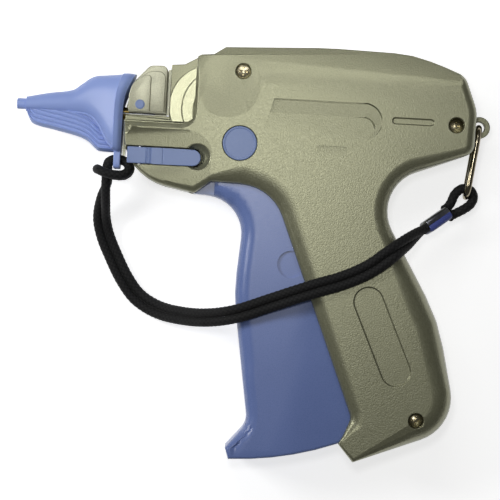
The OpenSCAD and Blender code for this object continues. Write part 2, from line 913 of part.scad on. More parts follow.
module casing_screws()
    color("#d8d2b4")
        lift()
            for (i = [0 : 2])
                translate([screw_places[i].x, screw_places[i].y, 0]) {
                    translate([0, 0, screw_seats[i]])
                        cylinder(r = screw_head_r, h = screw_head_t);
                    translate([0, 0, 3 - cavity_high])
                        cylinder(r = screw_r, h = screw_seats[i] + cavity_high - 3);
                }

// Nose

module block_layer(l)
    polygon(flat(outline(concat(
        [[block_front_x, slit_high, 0], [l[1], slit_high, 0], [l[1], l[2], l[3]]],
        l[4],
        [[block_slope.x, block_slope.y, 5], [block_front_x, block_chin_y, 3]]
    ))));

module nose_block()
    color(steel)
        lift()
            difference() {
                union() {
                    for (l = block_layers)
                        translate([0, 0, -l[0]])
                            linear_extrude(2 * l[0])
                                block_layer(l);
                    translate([block_front_x, stem_low, -stem_half])
                        cube([block_back_x - block_front_x, slit_high + over - stem_low, 2 * stem_half]);
                }
                along_x(block_front_x - over, base_back_x, needle_y, base_r);
                along_x(base_back_x - over, block_back_x + over, needle_y, needle_bore_r);
                across(block_pin_at.x, block_pin_at.y, block_pin_r, casing_t);
                translate([block_front_x - over, needle_y - 0.4, 0])
                    cube([block_back_x - block_front_x + 2 * over, 0.8, stem_half + over]);
            }

module block_pin()
    color(blue)
        lift()
            across(block_pin_at.x, block_pin_at.y, block_pin_r, 2 * block_layers[0][0] + 0.2);

module needle_base()
    color("#c9b06a")
        lift()
            difference() {
                union() {
                    along_x(block_front_x, base_back_x, needle_y, base_r);
                    along_x(cap_back_x - 6, block_front_x, needle_y, spigot_r);
                }
                along_x(cap_back_x - 7, base_back_x + over, needle_y, needle_r);
                across(block_pin_at.x, block_pin_at.y, block_pin_r, casing_t);
                translate([cap_back_x - 7, needle_y - 0.4, 0])
                    cube([base_back_x - cap_back_x + 8, 0.8, casing_t]);
            }

module needle()
    color(steel)
        lift()
            difference() {
                along_x(nose_x - needle_out, base_back_x, needle_y, needle_r);
                along_x(nose_x - needle_out - over, base_back_x + over, needle_y, needle_bore_r);
                translate([nose_x - needle_out - over, needle_y - 0.3, 0])
                    cube([needle_out + 20, 0.6, casing_t]);
                translate([nose_x - needle_out, needle_y - needle_r, 0])
                    rotate(-62)
                        translate([-20, -10, -5])
                            cube([20, 30, 10]);
            }

// Needle cap

// Ring of one cap section, whose crest leans back over the nose block
function cap_ring(s) =
    [
        for (a = [0 : 15 : 345])
            let (
                c = cos(a),
                d = sin(a),
                p = pow(pow(abs(c), s[5]) + pow(abs(d), s[5]), -1 / s[5]),
                y = (s[1] + s[2]) / 2 + (s[1] - s[2]) / 2 * p * c,
                rise = max(0, y - crest_from) / (crest_to - crest_from)
            )
            [cap_back_x - s[0] + s[4] * rise * rise, y, -s[3] * p * d]
    ];

// Lower edge of the keel from the tip to the flange
keel_edge = [
    for (p = [[30.4, 39.6], [23.3, 37.9], [15.2, 36.1], [11.6, 34.6], [8.9, 32.3], [7.6, 31.4]])
        [cap_back_x - p.x, p.y]
];

module keel_plan()
    polygon(concat(
        [[cap_tip_x, 44.4], [cap_tip_x + 0.9, 42]],
        keel_edge,
        [[cap_back_x - 1, 31.2], [cap_back_x - 1, 46]]
    ));

module cap_keel() {
    translate([0, 0, -keel_t / 2])
        linear_extrude(keel_t)
            keel_plan();
    translate([0, 0, -keel_t / 2 - rib_h])
        linear_extrude(keel_t + 2 * rib_h)
            intersection() {
                offset(delta = -rib_h)
                    keel_plan();
                for (i = [0 : keel_ribs - 1])
                    translate([0, rib_first + rib_pitch * i])
                        stroke(concat([[cap_tip_x - over, 40.6]], keel_edge), rib_w);
            }
}

// Eye at the foot of the flange for the strap hitch
module cap_lug()
    translate([cap_back_x - 0.1, lug_hole_y, 0])
        rotate([0, -90, 0])
            linear_extrude(lug_t)
                difference() {
                    translate([-lug_half, lug_low - lug_hole_y])
                        square([2 * lug_half, 33 - lug_low]);
                    rounded_bar(lug_hole.x, lug_hole.y, lug_hole.y / 2 - 0.05);
                }

module needle_cap()
    color(blue)
        lift()
            difference() {
                union() {
                    lofted([for (s = cap_sections) cap_ring(s)]);
                    cap_keel();
                    cap_lug();
                    along_x(cap_tip_x - nub_len, cap_tip_x + over, needle_y + 1.4, 1.85);
                }
                along_x(cap_back_x - 6.3, cap_back_x + over, needle_y, spigot_r + run_gap);
                along_x(cap_tip_x + 0.9, cap_back_x, needle_y, needle_r + 0.25);
            }

// Lock lever

module lock_lever_pin_bore()
    translate([lock_x, lock_y + lock_h / 2 + 1.6, lock_axis_z])
        rotate([90, 0, 0])
            cylinder(r = lock_pin_r, h = lock_h + 3.2);

module lock_lever()
    color(blue)
        lift()
            difference() {
                union() {
                    translate([0, 0, lock_top - lock_t])
                        linear_extrude(lock_t)
                            polygon(flat(outline([
                                [lock_x - lock_toe, lock_y - lock_h / 2, 0, 0],
                                [lock_end_x, lock_y - lock_h / 2, lock_h / 2 - 0.1, 0],
                                [lock_end_x, lock_y + lock_h / 2, lock_h / 2 - 0.1, 0],
                                [lock_x - lock_toe, lock_y + lock_h / 2, 0, 0]
                            ])));
                    translate([lock_x, lock_y + lock_h / 2, lock_axis_z])
                        rotate([90, 0, 0])
                            cylinder(r = 1.7, h = lock_h);
                }
                translate([lock_x, lock_y + lock_h, lock_axis_z])
                    rotate([90, 0, 0])
                        cylinder(r = lock_pin_r + run_gap, h = 2 * lock_h);
            }

module lock_lever_pin()
    color(steel)
        lift()
            lock_lever_pin_bore();

// Trigger

module trigger_hollow() {
    plan = flat(outline(trigger_corners));
    depth = trigger_half - trigger_wall;
    for (s = [0, 4, 8])
        translate([0.927 * s, 0.375 * s, -depth])
            linear_extrude(2 * depth)
                offset(delta = -trigger_wall)
                    polygon(plan);
}

// Pair of ribs that carries the drive pin
module drive_ribs()
    for (side = [0, 1])
        mirror([0, 0, side])
            translate([0, 0, rib_in])
                linear_extrude(rib_t) {
                    stroke([[0, -33], drive_pin_at - [8, 1], drive_pin_at], 7);
                    translate(drive_pin_at)
                        circle(r = link_pin_r + 2.2);
                }

module trigger()
    color(blue)
        lift()
            difference() {
                union() {
                    difference() {
                        round_slab(outline(trigger_corners), trigger_half);
                        trigger_hollow();
                    }
                    across(pivot_x, pivot_y, hub_r, trigger_w);
                    drive_ribs();
                }
                across(pivot_x, pivot_y, 3, trigger_w + 2);
                across(drive_pin_at.x, drive_pin_at.y, link_pin_r, trigger_w);
                translate([pivot_x, pivot_y, -pawl_t / 2])
                    rotate(pawl_rest)
                        translate([3.4, -1.5, 0])
                            cube([hub_r, 3, pawl_t]);
                for (side = [0, 1])
                    mirror([0, 0, side]) {
                        translate([moon_at.x, moon_at.y, trigger_half - moon_depth])
                            cylinder(r = moon_r, h = over + moon_depth);
                        translate([tongue_x - 20, 10, trigger_half - tongue_drop])
                            cube([20, 15, over + tongue_drop]);
                    }
            }

module pivot_caps()
    color(blue)
        lift()
            for (side = [0, 1])
                mirror([0, 0, side])
                    translate([pivot_x, pivot_y, 0]) {
                        translate([0, 0, trigger_half])
                            cylinder(r = cap_disc_r, h = half_t - trigger_half - 0.2);
                        translate([0, 0, trigger_half - 5])
                            cylinder(r = 3, h = 5);
                    }

module drive_pin()
    color(steel)
        lift()
            across(drive_pin_at.x, drive_pin_at.y, link_pin_r, 2 * (rib_in + rib_t));

module feed_pawl()
    color(steel)
        lift()
            translate([pivot_x, pivot_y, -pawl_t / 2])
                rotate(pawl_rest)
                    linear_extrude(pawl_t)
                        polygon([
                            [3.4, -1.5], [hub_r + 0.4, -1.5], [pawl_reach - 2, -0.5], [pawl_reach, -0.2],
                            [pawl_reach, 0.2], [pawl_reach - 2, 0.5], [hub_r + 0.4, 1.5], [3.4, 1.5]
                        ]);

// Drive

module lever_slot(at, turn, half, room)
    translate(at)
        rotate(turn)
            rounded_bar(
                2 * (half + link_pin_r + slot_end_room),
                2 * (link_pin_r + room),
                link_pin_r + room - 0.05
            );

module lever_plan() {
    foot_turn = atan2(drive_arm.y, drive_arm.x);
    difference() {
        union() {
            stroke(concat([lever_at], lever_bends, [lever_top]), lever_w);
            stroke([lever_at, lever_foot], lever_w);
            translate(lever_at)
                circle(r = lever_pin_r + 3.2);
            translate(lever_foot)
                rotate(foot_turn)
                    rounded_bar(7.4, lever_w + 0.6, lever_w / 2);
            translate(lever_top)
                rotate(90 - top_turn)
                    rounded_bar(2 * top_slot_half + 8, 8, 3.9);
        }
        lever_slot(lever_top, 90 - top_turn, top_slot_half, slider_pin_room);
        lever_slot(lever_foot, foot_turn, drive_slot_half, drive_pin_room);
    }
}

module drive_lever()
    color("#d9d6c8")
        lift()
            difference() {
                translate([0, 0, -lever_t / 2])
                    linear_extrude(lever_t)
                        lever_plan();
                across(lever_x, lever_y, lever_pin_r + run_gap, lever_t + 2);
            }

module lever_pin()
    color(steel)
        lift()
            across(lever_x, lever_y, lever_pin_r, cavity_high * 2 - 2);

// Torsion spring on the boss of the lever pivot, one leg on the lever and one towards the handle wall
module return_spring() {
    r = boss_r + spring_wire_r + 0.35;
    low = lever_t / 2 + spring_wire_r + 0.15;
    pitch = 2 * spring_wire_r + 0.25;
    first = 10;
    coil = [
        for (i = [0 : 12 * spring_turns])
            let (a = first + 30 * i)
            [lever_x + r * cos(a), lever_y + r * sin(a), low + pitch * i / 12]
    ];
    last = coil[len(coil) - 1];
    tail = [for (d = [3, 8, 13]) last + [-d * sin(first), d * cos(first), 0] * -1];
    color(steel)
        lift()
            tube(concat([coil[0] + [-2, 14, 0], coil[0] + [-0.6, 6, 0]], coil, tail), spring_wire_r, 6);
}

module slider()
    color("#e4e2d8")
        lift()
            difference() {
                translate([slider_front, needle_y - slider_h / 2, -slider_w / 2])
                    cube([slider_len, slider_h, slider_w]);
                translate([slider_front + 3, needle_y - slider_h, -lever_t / 2 - 0.4])
                    cube([slider_len, 2 * slider_h, lever_t + 0.8]);
                across(slider_x, needle_y, link_pin_r, slider_w + 2);
                along_x(slider_front - over, slider_front + 3 + over, needle_y, rod_r);
            }

module slider_pin()
    color(steel)
        lift()
            across(slider_x, needle_y, link_pin_r, slider_w);

module push_rod()
    color(steel)
        lift() {
            along_x(rod_step_x, slider_front + 3, needle_y, rod_r);
            along_x(rod_end_x, rod_step_x, needle_y, rod_tip_r);
        }

module rod_guide()
    color("#c9b06a")
        lift()
            difference() {
                along_x(guide_x, bulkhead_x, needle_y, guide_r);
                along_x(guide_x - over, bulkhead_x + over, needle_y, rod_r + run_gap);
            }

// Feed

module feed_wheel() {
    pitch = 360 / wheel_teeth;
    // A gap of the wheel lies on the line to the pawl at mid stroke
    turn = pawl_line + 180 + pitch / 2;
    color("#e4e2d8")
        lift()
            difference() {
                translate([wheel_at.x, wheel_at.y, -wheel_t / 2])
                    rotate(turn)
                        linear_extrude(wheel_t)
                            polygon([
                                for (i = [0 : wheel_teeth - 1], k = [0 : 3])
                                    let (
                                        a = pitch * (i + [-0.24, 0.24, 0.4, 0.6][k]),
                                        r = k < 2 ? wheel_root_r : wheel_r
                                    )
                                    r * [cos(a), sin(a)]
                            ]);
                across(wheel_at.x, wheel_at.y, axle_r + run_gap, wheel_t + 2);
            }
}

module wheel_axle()
    color(steel)
        lift()
            across(wheel_at.x, wheel_at.y, axle_r, axle_len);

// Strap

// Both strands of the folded cord, beside each other or turned about the route
function strand(side) =
    [
        for (i = [0 : len(strap_route) - 1])
            let (
                p = strap_route[i],
                a = strap_route[max(i - 1, 0)],
                b = strap_route[min(i + 1, len(strap_route) - 1)],
                ahead = unit([b.x - a.x, b.y - a.y, b.z - a.z]),
                beside = unit([-ahead.y, ahead.x, 0])
            )
            [p.x, p.y, p.z] + side * pair_half * (beside * cos(p[3]) + cross(ahead, beside) * sin(p[3]))
    ];

// Strand from the hitch to the ferrule, which it meets square to its end face
function full_strand(side) =
    let (end = ferrule_low + side * pair_half * ferrule_up)
    concat(
        [strand(side)[0] + hitch_lead],
        halfway(concat(strand(side), [end - cord_lead * ferrule_dir])),
        [end]
    );

module strap_cord()
    color(black)
        for (side = [-1, 1])
            tube(full_strand(side), cord_d / 2, 8);

// Girth hitch through the eye of the cap, between the tops of the two strands
module strap_hitch() {
    low = strand(-1)[0] + hitch_lead;
    high = strand(1)[0] + hitch_lead;
    turns = concat(
        [low + hitch_lead],
        [for (p = hitch_half) [p.x, p.y, half_t - p.z]],
        [hitch_fold + [0, 0, half_t]],
        [for (p = backward(hitch_half)) [p.x, p.y, half_t + p.z]],
        [high + hitch_lead]
    );
    color(black)
        tube(concat([low], halfway(turns), [high]), cord_d / 2, 8);
}

module strap_loop() {
    a = ferrule_high + pair_half * ferrule_side;
    b = ferrule_high - pair_half * ferrule_side;
    lead = cord_lead * ferrule_dir;
    color(black)
        tube(concat([a], halfway(concat([a + lead], loop_route, [b + lead])), [b]), cord_d / 2, 8);
}

// Half of the ferrule, on one side of its middle plane
module ferrule_half(side)
    translate(ferrule_low)
        rotate([0, -asin(ferrule_dir.z), atan2(ferrule_dir.y, ferrule_dir.x)])
            translate([0, side < 0 ? -ferrule_w / 2 : 0, -ferrule_h / 2])
                cube([ferrule_len, ferrule_w / 2, ferrule_h]);

module strap_sleeve()
    color("#5a67a8")
        ferrule_half(-1);

module strap_crimp()
    color(steel)
        ferrule_half(1);

// Oval wire link through the strap eye
module strap_link() {
    r = link_w / 2 - link_wire_r;
    straight = link_len - link_w;
    color(steel)
        lift()
            translate([eye_at.x, eye_at.y, 0])
                rotate(-97.5)
                    rotate([90, 0, 0])
                        translate([r, 0, 0]) {
                            for (side = [-1, 1])
                                translate([0, side * r, 0])
                                    rotate([0, 90, 0])
                                        cylinder(r = link_wire_r, h = straight);
                            rotate(90)
                                rotate_extrude(angle = 180)
                                    translate([r, 0])
                                        circle(r = link_wire_r);
                            translate([straight, 0, 0])
                                rotate(-90)
                                    rotate_extrude(angle = 180)
                                        translate([r, 0])
                                            circle(r = link_wire_r);
                        }
}

lower_shell();
upper_shell();
casing_screws();
nose_block();
block_pin();
needle_base();
needle();
needle_cap();
lock_lever();
lock_lever_pin();
trigger();
pivot_caps();
drive_pin();
feed_pawl();
drive_lever();
lever_pin();
return_spring();
slider();
slider_pin();
push_rod();
rod_guide();
feed_wheel();
wheel_axle();
strap_link();
strap_loop();
strap_sleeve();
strap_crimp();
strap_cord();
strap_hitch();
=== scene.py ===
"""Looks of a garment tag attacher: casing, trigger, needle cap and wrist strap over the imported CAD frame."""

import logging
import math
from dataclasses import dataclass, field
from enum import Enum
from typing import Any, Callable, Sequence

import bmesh
import bpy
from mathutils import Matrix, Vector
from mathutils.bvhtree import BVHTree
from mathutils.geometry import intersect_point_line
from mathutils.kdtree import KDTree
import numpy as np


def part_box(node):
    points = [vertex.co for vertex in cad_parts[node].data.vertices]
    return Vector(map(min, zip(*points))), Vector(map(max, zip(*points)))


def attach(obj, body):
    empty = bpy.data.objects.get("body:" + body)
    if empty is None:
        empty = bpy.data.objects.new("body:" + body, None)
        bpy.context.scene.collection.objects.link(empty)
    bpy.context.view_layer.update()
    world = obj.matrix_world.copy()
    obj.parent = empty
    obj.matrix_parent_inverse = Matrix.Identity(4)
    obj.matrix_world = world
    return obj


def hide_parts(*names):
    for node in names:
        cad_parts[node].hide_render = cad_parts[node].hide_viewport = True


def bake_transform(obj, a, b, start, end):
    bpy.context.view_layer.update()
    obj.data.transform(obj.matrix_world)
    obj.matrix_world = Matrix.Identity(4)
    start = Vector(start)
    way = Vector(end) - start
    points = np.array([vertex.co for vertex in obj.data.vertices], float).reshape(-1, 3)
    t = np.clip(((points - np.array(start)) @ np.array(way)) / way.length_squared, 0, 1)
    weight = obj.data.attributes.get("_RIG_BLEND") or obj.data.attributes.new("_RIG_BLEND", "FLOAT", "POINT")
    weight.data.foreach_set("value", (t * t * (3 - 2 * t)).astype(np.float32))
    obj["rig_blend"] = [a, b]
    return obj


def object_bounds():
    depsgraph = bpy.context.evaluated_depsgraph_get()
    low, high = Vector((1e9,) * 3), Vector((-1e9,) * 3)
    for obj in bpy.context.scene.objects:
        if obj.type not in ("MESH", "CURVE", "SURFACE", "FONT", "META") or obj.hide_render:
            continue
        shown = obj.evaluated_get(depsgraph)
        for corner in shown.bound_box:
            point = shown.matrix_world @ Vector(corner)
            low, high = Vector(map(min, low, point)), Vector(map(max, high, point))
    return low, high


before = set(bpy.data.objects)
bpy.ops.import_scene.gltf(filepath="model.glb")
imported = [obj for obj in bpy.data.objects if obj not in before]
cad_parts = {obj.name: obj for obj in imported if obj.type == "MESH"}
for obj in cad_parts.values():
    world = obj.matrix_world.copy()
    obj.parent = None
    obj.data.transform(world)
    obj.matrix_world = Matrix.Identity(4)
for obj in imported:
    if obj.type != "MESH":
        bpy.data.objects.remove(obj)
cad_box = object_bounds()

LOG = logging.getLogger("tag_attacher")
MM = 0.001
PARTING = 14.0
BRAID_LUMPS = 6
BRAID_PITCH = 1.7 * MM
Colour = tuple[float, float, float, float]


class Body(Enum):
    """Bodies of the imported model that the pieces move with."""

    CASING = "casing"
    TRIGGER = "trigger"
    LOCK_LEVER = "lock_lever"
    NEEDLE_CAP = "needle_cap"


class Slot(Enum):
    """Material slots of the record."""

    CASING = "casing_grey"
    TRIGGER = "trigger_blue"
    CAP = "cap_blue"
    FITTING = "fitting_blue"
    BLOCK = "block_grey"
    SCREW = "screw_steel"
    STEEL = "bright_steel"
    BRASS = "bush_brass"
    NYLON = "inner_nylon"
    LINK = "link_chrome"
    CORD = "cord_black"
    SLEEVE = "sleeve_blue"
    CRIMP = "crimp_metal"


def srgb(red: int, green: int, blue: int) -> Colour:
    """Linear colour of an 8-bit one.

    Args:
        red: Red from 0 to 255.
        green: Green from 0 to 255.
        blue: Blue from 0 to 255.

    Returns:
        The linear colour with full alpha.
    """
    values = [c / 255 for c in (red, green, blue)]
    linear = [v / 12.92 if v <= 0.04045 else ((v + 0.055) / 1.055) ** 2.4 for v in values]
    return (linear[0], linear[1], linear[2], 1.0)


def mm(*values: float) -> Vector:
    """Point in metres from millimetres."""
    return Vector(values) * MM


class Recipe:
    """Node tree of one material, with short ways to add to it."""

    def __init__(self, name: str) -> None:
        """Starts a material.

        Args:
            name: Name of the material.
        """
        self.material = bpy.data.materials.new(name)
        self.material.use_nodes = True
        self.tree = self.material.node_tree
        self.shader = self.tree.nodes["Principled BSDF"]

    def add(self, kind: str, inputs: dict[Any, Any], **settings: Any) -> bpy.types.Node:
        """Adds one node.

        Args:
            kind: Type of the node.
            inputs: Values or sockets for the node's inputs, by name or number.
            settings: Values for the node's own settings.

        Returns:
            The new node.
        """
        made = self.tree.nodes.new(kind)
        for key, value in settings.items():
            setattr(made, key, value)
        self.feed(made, inputs)
        return made

    def feed(self, target: bpy.types.Node, inputs: dict[Any, Any]) -> None:
        """Sets or links inputs of a node.

        Args:
            target: Node to feed.
            inputs: Values or sockets, by name or number.
        """
        for key, value in inputs.items():
            if isinstance(value, bpy.types.NodeSocket):
                self.tree.links.new(value, target.inputs[key])
            else:
                target.inputs[key].default_value = value

    def place(self, source: str = "Object") -> bpy.types.NodeSocket:
        """Texture coordinates of the piece."""
        return self.add("ShaderNodeTexCoord", {}).outputs[source]

    def noise(self, at: bpy.types.NodeSocket, scale: float, detail: float = 3.0) -> bpy.types.NodeSocket:
        """Cloudy noise.

        Args:
            at: Texture coordinates.
            scale: Lumps per metre.
            detail: Octaves of finer noise.

        Returns:
            The noise value.
        """
        return self.add("ShaderNodeTexNoise", {"Vector": at, "Scale": scale, "Detail": detail}).outputs[0]

    def ramp(self, value: bpy.types.NodeSocket, stops: Sequence[tuple[float, Colour]]) -> bpy.types.NodeSocket:
        """Colours along a value.

        Args:
            value: Value from 0 to 1.
            stops: Places and colours.

        Returns:
            The colour.
        """
        made = self.add("ShaderNodeValToRGB", {0: value})
        elements = made.color_ramp.elements
        while len(elements) < len(stops):
            elements.new(0.5)
        for element, (place, colour) in zip(elements, stops):
            element.position = place
            element.color = colour
        return made.outputs[0]

    def mix(self, factor: Any, low: Any, high: Any, blend: str = "MIX") -> bpy.types.NodeSocket:
        """Mix of two colours.

        Args:
            factor: Share of the second colour.
            low: First colour.
            high: Second colour.
            blend: Way of mixing.

        Returns:
            The mixed colour.
        """
        made = self.add("ShaderNodeMix", {}, data_type="RGBA", blend_type=blend)
        self.feed(made, {0: factor, 6: low, 7: high})
        return made.outputs[2]

    def span(self, value: bpy.types.NodeSocket, low: float, high: float) -> bpy.types.NodeSocket:
        """Value stretched over a span.

        Args:
            value: Value from 0 to 1.
            low: Result at 0.
            high: Result at 1.

        Returns:
            The stretched value.
        """
        return self.add("ShaderNodeMapRange", {0: value, 3: low, 4: high}).outputs[0]

    def sums(self, kind: str, *values: Any) -> bpy.types.NodeSocket:
        """Result of one arithmetic step.

        Args:
            kind: Operation of the node.
            values: Numbers or sockets.

        Returns:
            The result.
        """
        return self.add("ShaderNodeMath", dict(enumerate(values)), operation=kind).outputs[0]

    def bump(self, height: bpy.types.NodeSocket, depth: float, strength: float = 1.0) -> None:
        """Relief on the whole surface.

        Args:
            height: Height from 0 to 1.
            depth: Depth of the relief in metres.
            strength: Share of the relief that shows.
        """
        made = self.add("ShaderNodeBump", {"Height": height, "Distance": depth, "Strength": strength})
        self.feed(self.shader, {"Normal": made.outputs[0]})


@dataclass(frozen=True)
class FlakedPlastic:
    """Plastic filled with fine metal flakes: a broad sheen where it faces a lamp, with glints in it."""

    slot: Slot
    light: Colour
    dark: Colour
    sheen: Colour
    gloss: float = 0.77
    roughness: float = 0.35
    glint: float = 0.35
    grain: float = 2300.0
    grain_depth: float = 0.00007
    flake_depth: float = 0.00016
    clouds: float = 60.0

    def build(self) -> bpy.types.Material:
        """Makes the material.

        Returns:
            The material.
        """
        recipe = Recipe(self.slot.value)
        at = recipe.place()
        speckle = recipe.noise(at, self.grain, 2.0)
        cloud = recipe.noise(at, self.clouds, 3.0)
        body = recipe.ramp(speckle, [(0.32, self.dark), (0.66, self.light)])
        grain = recipe.add("ShaderNodeBump", {"Height": speckle, "Distance": self.grain_depth, "Strength": 0.6})
        flakes = recipe.add("ShaderNodeBump", {"Height": speckle, "Distance": self.flake_depth, "Strength": 0.9})
        recipe.feed(recipe.shader, {
            "Base Color": recipe.mix(recipe.span(cloud, 0.0, 0.3), body, self.dark),
            "IOR": 2.0,
            "Specular IOR Level": self.gloss,
            "Specular Tint": self.sheen,
            "Roughness": recipe.span(speckle, self.roughness - 0.1, self.roughness + 0.08),
            "Normal": grain.outputs[0],
            "Coat Weight": self.glint,
            "Coat Roughness": 0.2,
            "Coat Normal": flakes.outputs[0],
        })
        return recipe.material


@dataclass(frozen=True)
class MouldedPlastic:
    """Plain coloured plastic with faint flow marks and a satin grain."""

    slot: Slot
    base: Colour
    shade: Colour
    roughness: float = 0.34
    grain: float = 3200.0
    grain_depth: float = 0.00002
    clouds: float = 45.0

    def build(self) -> bpy.types.Material:
        """Makes the material.

        Returns:
            The material.
        """
        recipe = Recipe(self.slot.value)
        at = recipe.place()
        cloud = recipe.noise(at, self.clouds, 4.0)
        grain = recipe.noise(at, self.grain, 2.0)
        tint = recipe.ramp(cloud, [(0.3, self.shade), (0.7, self.base)])
        recipe.feed(recipe.shader, {
            "Base Color": recipe.mix(recipe.span(grain, 0.0, 0.25), tint, self.shade),
            "Roughness": recipe.span(grain, self.roughness - 0.05, self.roughness + 0.07),
            "Specular IOR Level": 0.5,
        })
        recipe.bump(grain, self.grain_depth, 0.4)
        return recipe.material


@dataclass(frozen=True)
class WorkedMetal:
    """Metal with fine drawn lines and small stains."""

    slot: Slot
    base: Colour
    stain: Colour
    roughness: float = 0.2
    lines: tuple[float, float, float] = (400.0, 4000.0, 4000.0)
    line_depth: float = 0.000015
    stains: float = 220.0

    def build(self) -> bpy.types.Material:
        """Makes the material.

        Returns:
            The material.
        """
        recipe = Recipe(self.slot.value)
        at = recipe.place()
        drawn = recipe.add("ShaderNodeMapping", {"Vector": at, "Scale": self.lines}).outputs[0]
        streak = recipe.noise(drawn, 1.0, 3.0)
        stain = recipe.noise(at, self.stains, 4.0)
        recipe.feed(recipe.shader, {
            "Base Color": recipe.ramp(stain, [(0.3, self.stain), (0.65, self.base)]),
            "Metallic": 1.0,
            "Roughness": recipe.span(streak, self.roughness - 0.07, self.roughness + 0.1),
        })
        recipe.bump(streak, self.line_depth, 0.5)
        return recipe.material


@dataclass(frozen=True)
class BraidedYarn:
    """Braided polyester cord: the relief is in the mesh, and the map paints shade into the grooves between the yarns.
    """

    slot: Slot
    yarn: Colour
    # Painted shade: colour laid into the grooves between the yarns.
    groove: Colour
    fibres: float = 5200.0
    fibre_depth: float = 0.00006

    def build(self) -> bpy.types.Material:
        """Makes the material.

        Returns:
            The material.
        """
        recipe = Recipe(self.slot.value)
        parts = recipe.add("ShaderNodeSeparateXYZ", {0: recipe.place("UV")}).outputs
        along = recipe.sums("MULTIPLY", parts[0], 1 / BRAID_PITCH)
        around = recipe.sums("MULTIPLY", parts[1], BRAID_LUMPS)
        waves = []
        for kind in ("ADD", "SUBTRACT"):
            turn = recipe.sums("MULTIPLY", recipe.sums(kind, around, along), math.pi)
            waves.append(recipe.sums("ABSOLUTE", recipe.sums("SINE", turn)))
        crown = recipe.sums("MULTIPLY", *waves)
        fibre = recipe.noise(recipe.place(), self.fibres, 2.0)
        # Painted shade: the yarn colour falls to the groove colour down into the grooves, on the same pattern as the
        # mesh relief. Fibre noise also mixes the groove colour in at random.
        yarn = recipe.ramp(crown, [(0.0, self.groove), (0.6, self.yarn)])
        recipe.feed(recipe.shader, {
            "Base Color": recipe.mix(recipe.span(fibre, 0.0, 0.5), yarn, self.groove),
            "Roughness": recipe.span(fibre, 0.62, 0.85),
            "Sheen Weight": 0.08,
            "Sheen Roughness": 0.5,
            "Specular IOR Level": 0.3,
        })
        recipe.bump(fibre, self.fibre_depth, 0.6)
        return recipe.material


class Palette:
    """Materials by slot, each made once."""

    finishes = (
        FlakedPlastic(Slot.CASING, srgb(114, 114, 94), srgb(90, 90, 72), (1.0, 1.0, 0.65, 1.0)),
        FlakedPlastic(Slot.BLOCK, srgb(176, 175, 152), srgb(146, 145, 124), (1.0, 1.0, 0.75, 1.0), 1.0),
        MouldedPlastic(Slot.TRIGGER, srgb(118, 138, 196), srgb(111, 131, 188), 0.27),
        MouldedPlastic(Slot.CAP, srgb(154, 175, 234), srgb(147, 168, 227), 0.36),
        MouldedPlastic(Slot.FITTING, srgb(126, 146, 192), srgb(119, 138, 184), 0.36),
        MouldedPlastic(Slot.NYLON, srgb(226, 224, 212), srgb(214, 211, 198), 0.4),
        MouldedPlastic(Slot.SLEEVE, srgb(84, 96, 168), srgb(70, 82, 150), 0.28),
        WorkedMetal(Slot.SCREW, srgb(206, 197, 166), srgb(136, 127, 100), 0.26),
        WorkedMetal(Slot.STEEL, srgb(150, 152, 154), srgb(118, 120, 122), 0.3),
        WorkedMetal(Slot.BRASS, srgb(205, 178, 104), srgb(164, 136, 74), 0.26),
        WorkedMetal(Slot.LINK, srgb(168, 160, 138), srgb(112, 103, 82), 0.16),
        WorkedMetal(Slot.CRIMP, srgb(150, 152, 158), srgb(104, 106, 114), 0.3),
        # The cord's second colour is painted shade for the grooves of the braid.
        BraidedYarn(Slot.CORD, srgb(34, 34, 34), srgb(4, 4, 5)),
    )

    def __init__(self) -> None:
        """Builds every finish."""
        self.made = {finish.slot: finish.build() for finish in self.finishes}

    def dress(self, piece: bpy.types.Object, slot: Slot) -> bpy.types.Object:
        """Gives a piece one finish.

        Args:
            piece: Piece to dress.
            slot: Slot of the finish.

        Returns:
            The piece.
        """
        if piece.material_slots:
            for place in piece.material_slots:
                place.material = self.made[slot]
        else:
            piece.data.materials.append(self.made[slot])
        return piece


def new_piece(bm: bmesh.types.BMesh, name: str) -> bpy.types.Object:
    """Object with a smooth mesh from a bmesh, which is freed.

    Args:
        bm: Shape in the row frame.
        name: Name of the piece.

    Returns:
        The linked object.
    """
    mesh = bpy.data.meshes.new(name)
    for face in bm.faces:
        face.smooth = True
    bm.to_mesh(mesh)
    bm.free()
    piece = bpy.data.objects.new(name, mesh)
    bpy.context.scene.collection.objects.link(piece)
    return piece


def merged_copy(node: str, seam: float = 0.002, flat: float = 0.4) -> bmesh.types.BMesh:
    """Copy of a CAD node with its points merged and its flat faces joined.

    Args:
        node: Name of the node.
        seam: Points closer than this many millimetres are merged.
        flat: Faces within this many degrees of each other are joined.

    Returns:
        The shape in the row frame.
    """
    plain = bpy.data.meshes.new(node + "_plain")
    source = bmesh.new()
    source.from_mesh(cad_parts[node].data)
    bmesh.ops.remove_doubles(source, verts=source.verts[:], dist=seam * MM)
    source.to_mesh(plain)
    source.free()
    for layer in [a.name for a in plain.attributes if not a.is_required]:
        plain.attributes.remove(plain.attributes[layer])
    bm = bmesh.new()
    bm.from_mesh(plain)
    bpy.data.meshes.remove(plain)
    bmesh.ops.dissolve_limit(bm, angle_limit=math.radians(flat), verts=bm.verts[:], edges=bm.edges[:])
    return bm


def verts_of(made: Sequence[Any]) -> list[bmesh.types.BMVert]:
    """The points among what an operator made."""
    return [m for m in made if isinstance(m, bmesh.types.BMVert)]


def edges_of(made: Sequence[Any]) -> list[bmesh.types.BMEdge]:
    """The edges among what an operator made."""
    return [m for m in made if isinstance(m, bmesh.types.BMEdge)]


def whole(bm: bmesh.types.BMesh) -> list[Any]:
    """Everything in a shape, for a cut right through it."""
    return bm.verts[:] + bm.edges[:] + bm.faces[:]


def sharp_edges(bm: bmesh.types.BMesh, angle: float) -> list[bmesh.types.BMEdge]:
    """Edges of a shape that are sharper than an angle in degrees."""
    return [e for e in bm.edges if e.calc_face_angle(0) > math.radians(angle)]


